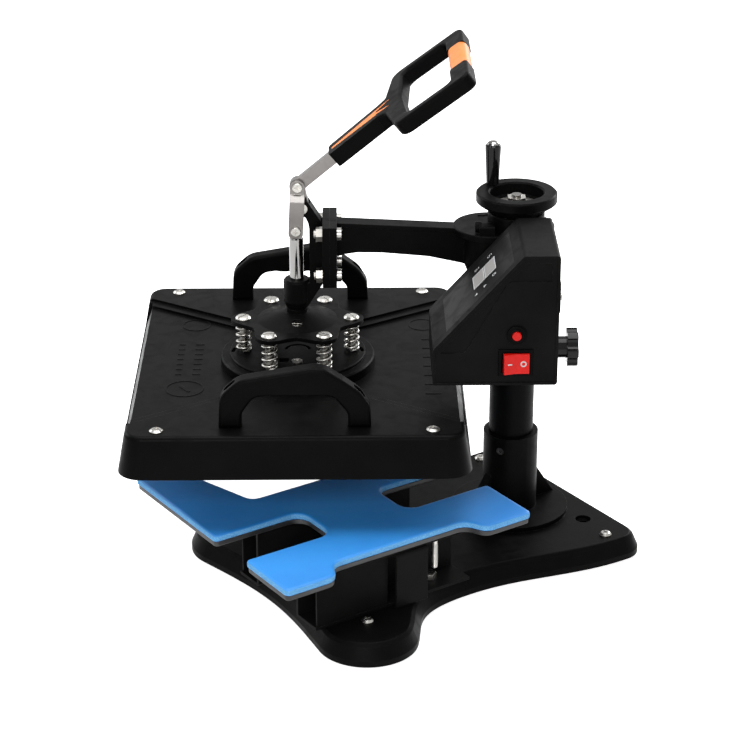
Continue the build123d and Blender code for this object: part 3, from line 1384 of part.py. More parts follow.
def handwheel():
    """Dished handwheel with a broad rim."""
    low = wheel_low()
    rim_low = low + WHEEL_RIM_LOW - 1.0
    rim_top = rim_low + WHEEL_RIM_H
    web_top = low + WHEEL_WEB_T
    profile = [
        (SCREW_R - 3, low), (WHEEL_OPEN_R, low), (WHEEL_R - 1.2, rim_low), (WHEEL_R, rim_low + 1.2),
        (WHEEL_R, rim_top - 1.5), (WHEEL_R - 1.5, rim_top), (WHEEL_OPEN_R + 1.5, rim_top),
        (WHEEL_OPEN_R, rim_top - 1.5),
        (WHEEL_OPEN_R, web_top + 3), (WHEEL_OPEN_R - 3, web_top), (SCREW_R - 3, web_top),
    ]
    wheel = turned(profile, 0, REACH)
    return wheel - rod_z(CRANK_PIN_R, rim_top - 8, rim_top + 1, CRANK_X, REACH + CRANK_Y)


def wheel_top():
    return wheel_low() + WHEEL_RIM_LOW - 1.0 + WHEEL_RIM_H


def wheel_ring():
    """Bright washer ring on the wheel's web."""
    low = wheel_low() + WHEEL_WEB_T
    bore = rod_z(WHEEL_RING_BORE, low - 1, low + 3, 0, REACH)
    return rod_z(WHEEL_RING_R, low, low + WHEEL_RING_T, 0, REACH) - bore


def wheel_nut():
    """Nut and washer that hold the wheel on the screw."""
    low = wheel_low() + WHEEL_WEB_T
    washer = rod_z(WHEEL_RING_BORE - 0.5, low, low + WHEEL_RING_T, 0, REACH)
    nut = hexagon_z(2 * WHEEL_NUT_R - 2, low + WHEEL_RING_T, low + WHEEL_RING_T + WHEEL_NUT_H, 0, REACH)
    return washer + nut - rod_z(SCREW_R - 3, low - 1, low + 20, 0, REACH)


def crank_pin():
    """Bolt with a domed chrome head that the crank grip turns on."""
    top = wheel_top()
    head_low = top + SLIP_GAP + CRANK_GRIP_H + SLIP_GAP
    pin = rod_z(CRANK_PIN_R, top - 8, head_low, CRANK_X, REACH + CRANK_Y)
    dome = turned([(0, head_low), (CRANK_CAP_R, head_low), (CRANK_CAP_R * 0.9, head_low + CRANK_CAP_H * 0.45),
                   (CRANK_CAP_R * 0.6, head_low + CRANK_CAP_H * 0.82),
                   (CRANK_CAP_R * 0.25, head_low + CRANK_CAP_H),
                   (0, head_low + CRANK_CAP_H)], CRANK_X, REACH + CRANK_Y)
    return pin + dome


def crank_grip():
    """Tapered grip that spins on the crank pin."""
    low = wheel_top() + SLIP_GAP
    high = low + CRANK_GRIP_H
    profile = [
        (CRANK_PIN_R + BUSH_FIT, low), (CRANK_GRIP_R0, low), (CRANK_GRIP_R0, low + 2),
        (CRANK_GRIP_R1, high - 4), (CRANK_GRIP_R1, high - 1.2), (CRANK_GRIP_R1 - 1.2, high),
        (CRANK_PIN_R + BUSH_FIT, high),
    ]
    return turned(profile, CRANK_X, REACH + CRANK_Y)


def swing_stop():
    """Stop block with a round lug on the lid."""
    low = HUB_TOP
    block = bar(STOP_X - STOP_W / 2, STOP_X + STOP_W / 2, STOP_Y - STOP_D / 2, STOP_Y + STOP_D / 2, low,
                low + STOP_H)
    block = fillet(block.edges().filter_by(Axis.Y).sort_by(Axis.Z)[-2:], 2.0)
    lug = rod_y(STOP_LUG_R, STOP_Y - STOP_D / 2 - 4, STOP_Y - STOP_D / 2 + 2, STOP_X - 1,
                low + STOP_LUG_R + 0.4)
    socket = hexagon_y(5.0, STOP_Y - STOP_D / 2 - 5, STOP_Y - STOP_D / 2 - 1.5, STOP_X - 1,
                       low + STOP_LUG_R + 0.4)
    return block + lug - socket


def lock_knob():
    """Star knob whose screw clamps the sleeve on the post."""
    y0 = REACH + POST_R + BUSH_FIT + SLIP_GAP
    y1 = REACH + HUB_R + SLIP_GAP
    y2 = y1 + KNOB_COLLAR_LEN
    y3 = y2 + KNOB_HEAD_LEN
    screw = rod_y(KNOB_SCREW_R, y0, y1, 0, KNOB_Z)
    collar = rod_y(KNOB_COLLAR_R, y1, y2, 0, KNOB_Z)
    head = rod_y(KNOB_HEAD_R, y2, y3, 0, KNOB_Z)
    for i in range(KNOB_POINTS):
        angle = 2 * math.pi * (i + 0.5) / KNOB_POINTS
        reach = KNOB_WAIST_R + 7.0
        head = head - rod_y(7.0, y2 - 1, y3 + 1, reach * math.cos(angle), KNOB_Z + reach * math.sin(angle))
    head = chamfer(head.faces().sort_by(Axis.Y)[-1].edges(), 0.8)
    return screw + collar + head


def box_corners(inset):
    """Side view of the control box, drawn in by an even inset."""
    lean = math.atan2(BOX_TOP_Z - BOX_SHOULDER_Z, BOX_TOP_Y - BOX_Y0)
    low_shift = inset * math.tan((math.pi / 2 - lean) / 2)
    high_shift = inset * math.tan(lean / 2)
    r = max(BOX_EDGE_R - inset, 0.6)
    return [
        (BOX_Y0 + inset, BOX_Z0 + inset, r), (BOX_Y1 - inset, BOX_Z0 + inset, r),
        (BOX_Y1 - inset, BOX_TOP_Z - inset, r),
        (BOX_TOP_Y + high_shift, BOX_TOP_Z - inset, r + 2),
        (BOX_Y0 + inset, BOX_SHOULDER_Z - low_shift, r + 2),
    ]


def slope_frame():
    """Sloping face: x stays X, y climbs the slope from its foot, z points out of the face."""
    lean = math.degrees(math.atan2(BOX_TOP_Z - BOX_SHOULDER_Z, BOX_TOP_Y - BOX_Y0))
    return Pos(0, BOX_Y0, BOX_SHOULDER_Z) * Rot(lean, 0, 0)


def box_shell():
    """Folded wrap of the control box: front, slope, top, rear and bottom."""
    shell = prism_x(box_corners(0.0), BOX_X0, BOX_X1) - prism_x(box_corners(BOX_T), BOX_X0 - 1, BOX_X1 + 1)
    shell = shell - slope_frame() * bar(OVERLAY_X0, OVERLAY_X1, OVERLAY_S0, OVERLAY_S1, -OVERLAY_T, 5)
    for s in WINDOW_S:
        shell = shell - slope_frame() * bar(WINDOW_X0, WINDOW_X1, s, s + WINDOW_W, -BOX_T - 3, 1)
    shell = shell - bar(INLET_X - INLET_HALF_X + 7, INLET_X + INLET_HALF_X - 7, BOX_Y1 - BOX_T - 2,
                        BOX_Y1 + 1,
                        INLET_Z - INLET_HALF_Z + 1.5, INLET_Z + INLET_HALF_Z - 1.5)
    for side in (-1, 1):
        shell = shell - rod_y(1.6, BOX_Y1 - BOX_T - 2, BOX_Y1 + 1, INLET_X + side * INLET_SCREW_X, INLET_Z)
    for k in range(6):
        x = BOX_X0 + 20 + 13 * k
        shell = shell - bar(x, x + 3, BOX_Y0 + 40, BOX_Y0 + 70, BOX_Z0 - 1, BOX_Z0 + BOX_T + 1)
    return shell


def side_cover_near():
    """Near side cover with the switch cut-outs, a rim and a sunk band above the switches' field."""
    x1 = BOX_X1 - BOX_LIP + 1.5
    x0 = x1 - BOX_SIDE_T
    cover = prism_x(box_corners(BOX_T), x0, x1)
    field = [
        (BOX_Y0 - 1, BOX_Z0 - 1), (BOX_Y1 + 1, BOX_Z0 - 1), (BOX_Y1 + 1, FIELD_TOP),
        (FIELD_Y_TOP, FIELD_TOP, 8),
        (FIELD_Y_LOW, FIELD_LOW, 8), (BOX_Y0 - 1, FIELD_LOW),
    ]
    band = prism_x(box_corners(BOX_T + FIELD_RIM), x1 - FIELD_DEPTH, x1 + 1)
    cover = cover - (band - prism_x(field, x1 - 2, x1 + 2))
    cover = cover - bar(x0 - 1, x1 + 1, ROCKER_Y - BEZEL_HALF_Y + 2.2, ROCKER_Y + BEZEL_HALF_Y - 2.2,
                        ROCKER_Z - BEZEL_HALF_Z + 2.2, ROCKER_Z + BEZEL_HALF_Z - 2.2)
    return cover - rod_x(RESET_COLLAR_R - 3, x0 - 1, x1 + 1, RESET_Y, RESET_Z)


def side_face():
    return BOX_X1 - BOX_LIP + 1.5


def side_cover_far():
    """Cover on the post side, screwed to the hub's pad."""
    cover = prism_x(box_corners(BOX_T), BOX_X0, BOX_X0 + BOX_SIDE_T)
    for y, z in box_screw_places():
        cover = cover - rod_x(2.5, BOX_X0 - 1, BOX_X0 + BOX_SIDE_T + 1, y, z)
    return cover


def box_screw_places():
    return [(REACH + sy * (BOX_PAD_HALF_Y - 6), z) for sy in (-1, 1) for z in (BOX_PAD_LOW + 8,
                                                                               BOX_PAD_HIGH - 8)]


def box_screws():
    """Screws from inside the box into the hub's pad."""
    screws = []
    x1 = BOX_X0 + BOX_SIDE_T
    for y, z in box_screw_places():
        screws.append(rod_x(2.5, HUB_R - 8, x1, y, z) + rod_x(4.5, x1, x1 + 3, y, z))
    return screws


def overlay_panel():
    """Printed overlay let into the slope, with two openings for the displays."""
    panel = bar(OVERLAY_X0, OVERLAY_X1, OVERLAY_S0, OVERLAY_S1, -OVERLAY_T, 0)
    for s in WINDOW_S:
        panel = panel - bar(WINDOW_X0, WINDOW_X1, s, s + WINDOW_W, -OVERLAY_T - 1, 1)
    return slope_frame() * panel


def display_windows():
    """Two light display windows, seated in the slope."""
    panes = []
    for s in WINDOW_S:
        pane = bar(WINDOW_X0, WINDOW_X1, s, s + WINDOW_W, -BOX_T, 0.2)
        panes.append(slope_frame() * pane)
    return panes


def circuit_board():
    """Controller board behind the slope, with its display block and standoffs."""
    board = bar(OVERLAY_X0 + 6, OVERLAY_X1 - 6, OVERLAY_S0 + 14, OVERLAY_S1 - 12, -BOX_T - 9, -BOX_T - 7.4)
    block = bar(WINDOW_X0 + 2, WINDOW_X1 - 2, WINDOW_S[0] + 1, WINDOW_S[1] + WINDOW_W - 1, -BOX_T - 7.4,
                -BOX_T)
    posts = None
    for x in (OVERLAY_X0 + 10, OVERLAY_X1 - 10):
        for s in (OVERLAY_S0 + 18, OVERLAY_S1 - 16):
            post = Pos(x, s, -BOX_T - 3.7) * Cylinder(2.5, 7.4)
            posts = post if posts is None else posts + post
    chip = bar(OVERLAY_X0 + 14, OVERLAY_X0 + 34, OVERLAY_S0 + 22, OVERLAY_S0 + 36, -BOX_T - 12, -BOX_T - 9)
    return slope_frame() * (board + block + posts + chip)


def power_relay():
    """Solid-state relay on the floor of the box."""
    x0 = BOX_X0 + RELAY_IN_X
    y0 = BOX_Y0 + RELAY_IN_Y
    floor = BOX_Z0 + BOX_T
    body = bar(x0, x0 + RELAY_L, y0, y0 + RELAY_W, floor, floor + RELAY_H)
    for x in (x0 + RELAY_POLE_IN, x0 + RELAY_L - RELAY_POLE_IN):
        body = body + rod_z(RELAY_POLE_R, floor + RELAY_H, floor + RELAY_H + RELAY_POLE_H, x,
                            y0 + RELAY_W / 2)
    return body


def mains_inlet():
    """Appliance inlet on the rear of the box: flange, well and three blades."""
    y = BOX_Y1
    flange = prism_z([(INLET_X - INLET_HALF_X, -INLET_HALF_Z, 3), (INLET_X + INLET_HALF_X, -INLET_HALF_Z, 3),
                      (INLET_X + INLET_HALF_X, INLET_HALF_Z, 3), (INLET_X - INLET_HALF_X, INLET_HALF_Z, 3)],
                      0, INLET_FLANGE_T)
    flange = Pos(0, y, INLET_Z) * Rot(-90, 0, 0) * flange
    body = bar(INLET_X - INLET_HALF_X + 7.2, INLET_X + INLET_HALF_X - 7.2, y - INLET_DEEP, y,
               INLET_Z - INLET_HALF_Z + 1.7, INLET_Z + INLET_HALF_Z - 1.7)
    well = bar(INLET_X - INLET_WELL_X, INLET_X + INLET_WELL_X, y + INLET_FLANGE_T - INLET_WELL_DEEP,
               y + INLET_FLANGE_T + 1,
               INLET_Z - INLET_WELL_Z, INLET_Z + INLET_WELL_Z)
    inlet = flange + body - well
    floor = y + INLET_FLANGE_T - INLET_WELL_DEEP
    for dx, dz in ((-7, -2), (7, -2), (0, 3)):
        inlet = inlet + bar(INLET_X + dx - 1, INLET_X + dx + 1, floor - 1, floor + 13, INLET_Z + dz - 2,
                            INLET_Z + dz + 2)
    for side in (-1, 1):
        inlet = inlet - rod_y(1.6, y - 1, y + INLET_FLANGE_T + 1, INLET_X + side * INLET_SCREW_X, INLET_Z)
    return inlet


def inlet_screws():
    screws = []
    y = BOX_Y1 + INLET_FLANGE_T
    for side in (-1, 1):
        x = INLET_X + side * INLET_SCREW_X
        head = rod_y(3.2, y, y + 1.8, x, INLET_Z) - Pos(x, y + 1.8, INLET_Z) * Box(5, 1.4, 0.8)
        screws.append(head + rod_y(1.6, BOX_Y1 - 6, y, x, INLET_Z))
    return screws


def rocker_bezel():
    """Frame and body of the rocker switch."""
    x = side_face()
    frame = bar(x, x + BEZEL_T, ROCKER_Y - BEZEL_HALF_Y, ROCKER_Y + BEZEL_HALF_Y, ROCKER_Z - BEZEL_HALF_Z,
                ROCKER_Z + BEZEL_HALF_Z)
    frame = fillet(frame.faces().sort_by(Axis.X)[-1].edges(), 1.0)
    body = bar(x - SWITCH_BODY_DEEP, x, ROCKER_Y - BEZEL_HALF_Y + 2.3, ROCKER_Y + BEZEL_HALF_Y - 2.3,
               ROCKER_Z - BEZEL_HALF_Z + 2.3, ROCKER_Z + BEZEL_HALF_Z - 2.3)
    shell = frame + body
    opening = bar(x - 9, x + BEZEL_T + 1, ROCKER_Y - ROCKER_HALF_Y - ROCKER_SWEEP,
                  ROCKER_Y + ROCKER_HALF_Y + ROCKER_SWEEP,
                  ROCKER_Z - ROCKER_HALF_Z - SLIP_GAP, ROCKER_Z + ROCKER_HALF_Z + SLIP_GAP)
    shell = shell - opening
    trunnion = rod_z(ROCKER_PIN_R + RUNNING_FIT, ROCKER_Z - ROCKER_HALF_Z - 0.9,
                     ROCKER_Z + ROCKER_HALF_Z + 0.9,
                     x - ROCKER_PIVOT_IN, ROCKER_Y)
    return shell - trunnion


def rocker():
    """Rocker with a shallow V face, tipped so that its O side is pressed in."""
    half = ROCKER_HALF_Y
    profile = [(-half, 1.5), (half, 1.5), (half, ROCKER_RISE, 0.6), (0, ROCKER_RISE - 1.3, 8),
               (-half, ROCKER_RISE, 0.6)]
    block = extrude(rounded(profile), 2 * ROCKER_HALF_Z, dir=(0, 0, 1))
    body = Pos(0, 0, -ROCKER_HALF_Z) * block + rod_z(3.2, -ROCKER_HALF_Z, ROCKER_HALF_Z)
    body = body + rod_z(ROCKER_PIN_R, -ROCKER_HALF_Z - 0.6, ROCKER_HALF_Z + 0.6)
    outward = Plane(origin=(side_face() - ROCKER_PIVOT_IN, ROCKER_Y, ROCKER_Z), x_dir=(0, 1, 0),
                    z_dir=(0, 0, -1))
    return outward.location * Rot(0, 0, -ROCKER_TILT) * body


def reset_breaker():
    """Collar and body of the resettable breaker."""
    x = side_face()
    collar = rod_x(RESET_COLLAR_R, x, x + RESET_COLLAR_H, RESET_Y, RESET_Z)
    collar = fillet(collar.faces().sort_by(Axis.X)[-1].edges(), 0.8)
    inner = rod_x(RESET_R + 1.8, x, x + RESET_COLLAR_H + 0.8, RESET_Y, RESET_Z)
    body = rod_x(RESET_COLLAR_R - 3, x - RESET_BODY_DEEP, x, RESET_Y, RESET_Z)
    return collar + inner + body - rod_x(RESET_R + SLIP_GAP, x - 8, x + 10, RESET_Y, RESET_Z)


def reset_button():
    """Red button of the breaker."""
    x = side_face()
    button = rod_x(RESET_R, x - 5, x + RESET_OUT, RESET_Y, RESET_Z)
    return fillet(button.faces().sort_by(Axis.X)[-1].edges(), 0.7)


def handle_screw_places():
    return [(sx * HANDLE_X, sy * HANDLE_SCREW_Y) for sx in (-1, 1) for sy in (-1, 1)]


def side_handle():
    """Bridge handle with its peak towards the post and finger waves underneath."""
    z = COVER_TOP
    inn = HANDLE_FOOT_IN
    out = HANDLE_FOOT_OUT
    top = z + HANDLE_TALL
    under = z + HANDLE_REACH_H
    profile = [
        (-out, z, 0.8), (-out + 1.5, z + 32, 20), (-out + 19, z + 48, 24), (17, top, 20), (28, top - 1, 12),
        (46, top - 13, 12), (62, top - 25, 28), (out - 1, z + 20, 14), (out, z, 0.8),
        (inn, z, 0.8), (inn, z + 14, 12), (inn - 14, under, 13), (-inn + 12, under, 13), (-inn, z + 14, 12),
        (-inn, z, 0.8),
    ]
    body = prism_x(profile, HANDLE_X - HANDLE_HALF_T, HANDLE_X + HANDLE_HALF_T)
    rim = body.edges().filter_by(lambda e: abs(abs(e.center().X - HANDLE_X) - HANDLE_HALF_T) < 0.01)
    rim = rim.filter_by(lambda e: e.center().Z > z + 2)
    body = fillet(rim, HANDLE_EDGE_R)
    span = 2 * (inn - 16)
    for i in range(HANDLE_WAVES):
        y = -span / 2 + span * (i + 0.5) / HANDLE_WAVES
        body = body - rod_x(HANDLE_WAVE_R, HANDLE_X - 20, HANDLE_X + 20, y, under - HANDLE_WAVE_R + 1.8)
    w = HANDLE_WELL_HALF
    for side in (-1, 1):
        y = side * HANDLE_SCREW_Y
        seat = z + HANDLE_SEAT_H
        well = bar(HANDLE_X - w, HANDLE_X + w, y - HANDLE_WELL_LONG, y + HANDLE_WELL_LONG, seat, top + 20)
        well = fillet(well.edges().filter_by(Axis.Z), w - 0.1)
        body = body - well - rod_z(HANDLE_SCREW_R, z - 1, seat + 1, HANDLE_X, y)
    return body


def handle_screws():
    """Socket screws down the handles' wells into the cover."""
    seat = COVER_TOP + HANDLE_SEAT_H
    screws = []
    for x, y in handle_screw_places():
        head = rod_z(HANDLE_WELL_HALF - SLIP_GAP, seat, seat + 4, x, y) - hexagon_z(3.0, seat + 1.5, seat + 5,
                                                                                    x, y)
        screws.append(head + rod_z(HANDLE_SCREW_R, COVER_TOP - 6, seat, x, y))
    return screws


def build():
    """Write every sub-part in the rest pose."""
    save("base_casting", base_casting())
    save("rubber_feet", *rubber_feet())
    save("foot_screws", *foot_screws())
    save("column_post", column_post())
    save("post_nut", post_nut())
    save("post_set_screws", *post_set_screws())
    save("cradle_rails", *cradle_rails())
    save("rail_side_plates", *rail_side_plates())
    save("support_straps", *support_straps())
    save("rail_bolts", *rail_bolts())
    save("platen_studs", *platen_studs(), *stud_nuts())
    save("lower_plate", lower_plate())
    save("pressing_pad", pressing_pad())
    head = {
        "heat_plate": [heat_plate()],
        "heating_element": [heating_element()],
        "insulation_board": [insulation()],
        "thermostat": [thermostat()],
        "platen_cover": [platen_cover()],
        "cover_screws": cover_screws() + [earth_screw()],
        "platen_standoffs": standoffs(),
        "mount_disc": [mount_disc()],
        "shoulder_screws": shoulder_screws(),
        "platen_springs": platen_springs(),
        "spider_plate": [spider()],
        "spider_plug": [spider_plug()],
        "plunger_rod": [plunger_rod()],
        "link_straps": link_straps(),
        "link_screws": [link_pin()] + link_foot_screws(),
        "lever_bar": [lever_bar()],
        "lever_handle": [lever_handle()],
        "handle_inlays": [grip_sleeve(), lever_inlay()],
        "head_casting": [head_casting()],
        "lever_pivot_pin": [lever_pivot_pin()],
        "flange_fasteners": flange_bolts() + flange_nuts(),
        "arm_casting": [arm_casting()],
        "bearing_cap": [bearing_cap()],
        "cap_screws": cap_screws(),
        "thrust_ring": [thrust_ring()],
        "pressure_screw": [pressure_screw()],
        "handwheel": [handwheel()],
        "wheel_fasteners": [wheel_ring(), wheel_nut()],
        "crank_pin": [crank_pin()],
        "crank_grip": [crank_grip()],
        "swing_stop": [swing_stop()],
        "lock_knob": [lock_knob()],
        "box_shell": [box_shell()],
        "box_side_covers": [side_cover_near(), side_cover_far()],
        "box_screws": box_screws() + inlet_screws(),
        "overlay_panel": [overlay_panel()],
        "display_windows": display_windows(),
        "circuit_board": [circuit_board()],
        "power_relay": [power_relay()],
        "mains_inlet": [mains_inlet()],
        "rocker_bezel": [rocker_bezel()],
        "rocker_switch": [rocker()],
        "reset_breaker": [reset_breaker()],
        "reset_button": [reset_button()],
        "side_handles": both_sides(side_handle()),
        "handle_screws": handle_screws(),
    }
    for name, shapes in head.items():
        save(name, *[rest_pose(shape) for shape in shapes])
    print("stroke", round(STROKE, 3), "lever turn", round(LEVER_TURN, 3), "link turn", round(LINK_TURN, 3))
    print("spring turns", SPRING_TURNS * LOBE_COUNT, "least gap", round(spring_least_gap(), 3))


build()
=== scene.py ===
# %% [markdown]
# # A bench heat press for shoes
# The machine has a heated platen on an arm that swings round a post. A toggle lever presses the platen down
# on a slotted foam pad, and a handwheel on top sets the height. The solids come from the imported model, and
# this lesson dresses them: it makes the finishes, the soft pad and the small trim that solids leave out.

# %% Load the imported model
import json
import math
import bpy
import numpy as np
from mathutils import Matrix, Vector


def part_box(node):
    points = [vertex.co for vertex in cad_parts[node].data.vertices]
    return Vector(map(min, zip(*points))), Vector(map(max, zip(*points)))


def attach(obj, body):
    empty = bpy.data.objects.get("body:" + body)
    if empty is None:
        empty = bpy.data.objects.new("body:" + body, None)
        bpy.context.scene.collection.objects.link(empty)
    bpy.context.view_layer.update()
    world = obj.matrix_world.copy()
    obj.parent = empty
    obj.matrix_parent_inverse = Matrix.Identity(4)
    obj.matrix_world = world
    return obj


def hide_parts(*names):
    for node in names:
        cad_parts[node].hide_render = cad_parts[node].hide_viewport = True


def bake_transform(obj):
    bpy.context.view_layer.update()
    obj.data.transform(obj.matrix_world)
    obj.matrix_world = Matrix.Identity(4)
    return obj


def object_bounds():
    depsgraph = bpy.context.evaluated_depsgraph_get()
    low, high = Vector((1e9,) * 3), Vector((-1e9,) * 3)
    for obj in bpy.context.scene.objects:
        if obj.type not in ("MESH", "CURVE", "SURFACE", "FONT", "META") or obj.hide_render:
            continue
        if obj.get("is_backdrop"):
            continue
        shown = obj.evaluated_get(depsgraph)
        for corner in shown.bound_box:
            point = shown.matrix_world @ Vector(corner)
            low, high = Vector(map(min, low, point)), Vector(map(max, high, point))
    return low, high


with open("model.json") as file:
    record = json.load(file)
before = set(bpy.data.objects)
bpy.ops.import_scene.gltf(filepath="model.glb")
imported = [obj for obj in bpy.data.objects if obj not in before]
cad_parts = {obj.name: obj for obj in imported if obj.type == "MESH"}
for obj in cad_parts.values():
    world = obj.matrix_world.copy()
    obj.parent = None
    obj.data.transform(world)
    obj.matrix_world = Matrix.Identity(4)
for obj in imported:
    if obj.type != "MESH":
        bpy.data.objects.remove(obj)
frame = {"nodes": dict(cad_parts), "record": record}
nodes = frame["nodes"]
cad_low, cad_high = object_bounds()
print("solids:", len(nodes), "box:", [round(v, 3) for v in cad_high - cad_low])

# %% [markdown]
# Half of the machine is drawn in a head frame: x to the operator's right, y from the plunger's axis to the
# post, z up. The head is stored swung to the left, so a small function carries head points to the row frame.
# It works on whole arrays, since every new piece below is a grid of points.

# %% From the head frame to the row frame
POST_BACK = 0.112               # from the middle of the base back to the post
REACH = 0.216                   # from the plunger's axis back to the post
SWING = math.radians(33.5)      # how far the head is swung to the left at rest

def head_to_row(points):
    """Turn by minus the swing about the post: with d = y - reach, X = x cos + d sin, Y = d cos - x sin + back."""
    p = np.asarray(points, float)
    dy = p[..., 1] - REACH
    x = p[..., 0] * math.cos(SWING) + dy * math.sin(SWING)
    y = -p[..., 0] * math.sin(SWING) + dy * math.cos(SWING) + POST_BACK
    return np.stack([x, y, p[..., 2]], -1)

print("plunger axis at rest:", head_to_row([0, 0, 0]).round(4))

# %% [markdown]
# Every surface below is made of shader nodes. These helpers keep the node trees short: one adds a node with
# its values and links, one mixes two colours and one opens an empty material.

# %% Helpers for node trees
def step(tree, kind, links=(), **values):
    """Add a node, set its sockets or properties by name, and link (output, input name or number) pairs."""
    node = tree.nodes.new(kind)
    for key, value in values.items():
        if key.startswith("p_"):
            setattr(node, key[2:], value)
        else:
            node.inputs[key.replace("_", " ")].default_value = value
    for source, target in links:
        tree.links.new(source, node.inputs[target])
    return node

def combine(tree, operation, first, second, **more):
    """The output of a Math node on two terms, each a socket or a number."""
    node = step(tree, "ShaderNodeMath", p_operation=operation, **more)
    for number, term in enumerate((first, second)):
        if isinstance(term, float):
            node.inputs[number].default_value = term
        else:
            tree.links.new(term, node.inputs[number])
    return node.outputs[0]

def mixed(tree, amount, first, second):
    """The first colour at amount 0 and the second at 1; each is a socket or three numbers."""
    node = step(tree, "ShaderNodeMix", [(amount, 0)], p_data_type="RGBA")
    for number, colour in ((6, first), (7, second)):
        if isinstance(colour, bpy.types.NodeSocket):
            tree.links.new(colour, node.inputs[number])
        else:
            node.inputs[number].default_value = (*colour, 1)
    return node.outputs[2]

def new_material(name):
    """An empty node material, and its tree."""
    paint = bpy.data.materials.new(name)
    paint.use_nodes = True
    paint.node_tree.nodes.clear()
    return paint, paint.node_tree

# %% [markdown]
# ## Camera, light and floor
# The picture was taken from the front right and a little above, with a long lens. A long lens keeps the
# platen's far edge nearly as long as its near one. The position was solved from straight edges of the machine.

# %% Camera
CAMERA_PLACE = (1.7458, -1.2424, 1.1465)
CAMERA_LOOK = Vector((-0.756, 0.514, -0.405)).normalized()
LENS, SENSOR = 114.65, 36.0

camera_data = bpy.data.cameras.new("camera")
camera_data.lens, camera_data.sensor_width = LENS, SENSOR
camera_data.clip_start, camera_data.clip_end = 0.1, 50
camera = bpy.data.objects.new("camera", camera_data)
camera.location = CAMERA_PLACE
camera.rotation_mode = "QUATERNION"
camera.rotation_quaternion = CAMERA_LOOK.to_track_quat("-Z", "Y")
bpy.context.scene.collection.objects.link(camera)
bpy.context.scene.camera = camera

# %% [markdown]
# Black machines are lit for their edges: broad soft lamps above and beside the object draw long pale
# reflections along the rounded edges, and a white room shows in the metal. The background is white only for
# camera, glossy and glass rays, so that it adds no light to the object.

# %% World and lamps
WHITE = (1, 1, 1, 1)
ROOM_TINT, ROOM_LIGHT = (0.9, 0.93, 1.0, 1), 0.1

def seen_rays(tree):
    """1 for camera, glossy and glass rays, 0 for the rest: the largest of three outputs of Light Path."""
    rays = step(tree, "ShaderNodeLightPath").outputs
    glossy = combine(tree, "MAXIMUM", rays["Is Camera Ray"], rays["Is Glossy Ray"])
    return combine(tree, "MAXIMUM", glossy, rays["Is Transmission Ray"])

def make_world():
    """A dim grey room for light, and a white one for what the camera and the reflections see."""
    world = bpy.data.worlds.new("studio")
    world.use_nodes = True
    bpy.context.scene.world = world
    tree = world.node_tree
    tree.nodes.clear()
    room = step(tree, "ShaderNodeBackground", Color=ROOM_TINT, Strength=ROOM_LIGHT)
    seen = step(tree, "ShaderNodeBackground", Color=WHITE, Strength=1.0)
    both = step(tree, "ShaderNodeMixShader", [(seen_rays(tree), 0), (room.outputs[0], 1), (seen.outputs[0], 2)])
    step(tree, "ShaderNodeOutputWorld", [(both.outputs[0], "Surface")])

def soft_lamp(name, place, aim, size, power, tint=(1, 1, 1)):
    """A square area lamp at a place, facing a point."""
    data = bpy.data.lights.new(name, "AREA")
    data.size, data.energy, data.color = size, power, tint
    lamp = bpy.data.objects.new(name, data)
    lamp.location = place
    lamp.rotation_mode = "QUATERNION"
    lamp.rotation_quaternion = (Vector(aim) - Vector(place)).to_track_quat("-Z", "Y")
    bpy.context.scene.collection.objects.link(lamp)

make_world()
middle = (cad_low + cad_high) / 2
soft_lamp("overhead", middle + Vector((-0.1, 0.1, 1.7)), middle, 1.5, 40)
soft_lamp("front_right", middle + Vector((1.5, -1.3, 0.9)), middle, 1.0, 21, (1.0, 0.98, 0.96))
soft_lamp("left", middle + Vector((-1.7, -0.6, 0.8)), middle, 0.9, 12, (0.94, 0.97, 1.0))
soft_lamp("back", middle + Vector((-0.5, 1.8, 0.8)), middle, 0.7, 24)
bpy.context.scene.view_settings.view_transform = "Standard"

# %% [markdown]
# A plain pale floor carries the object's shadow. It is a large disc at the height of the rubber feet, white
# to the camera so that it melts into the background, with only the contact shadow left.

# %% Floor
FLOOR_GREY, FLOOR_GLOW = (0.9, 0.9, 0.9, 1), 0.88

def make_floor(height, radius=6.0, corners=64):
    """A disc: each corner is radius times (cos a, sin a) at the given height."""
    a = np.linspace(0, 2 * np.pi, corners, endpoint=False)
    points = np.stack([radius * np.cos(a), radius * np.sin(a), np.full(corners, height)], -1)
    mesh = bpy.data.meshes.new("floor")
    mesh.from_pydata(points.tolist(), [], [list(range(corners))])
    floor = bpy.data.objects.new("floor", mesh)
    bpy.context.scene.collection.objects.link(floor)
    paint, tree = new_material("pale_floor")
    matt = step(tree, "ShaderNodeBsdfDiffuse", Color=FLOOR_GREY)
    glow = step(tree, "ShaderNodeEmission", Color=WHITE, Strength=FLOOR_GLOW)
    both = step(tree, "ShaderNodeAddShader", [(matt.outputs[0], 0), (glow.outputs[0], 1)])
    pick = step(tree, "ShaderNodeMixShader", [(seen_rays(tree), 0), (matt.outputs[0], 1), (both.outputs[0], 2)])
    step(tree, "ShaderNodeOutputMaterial", [(pick.outputs[0], "Surface")])
    mesh.materials.append(paint)
    floor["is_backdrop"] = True

make_floor(cad_low.z - 0.0002)

# %% [markdown]
# ## Effects that several finishes share
# Each effect is a node group with named inputs and outputs, built once and placed in each material with its
# own values. They all read Object coordinates, which are metres in the row frame here, so a scale of 1000
# gives marks about a millimetre across on every piece.

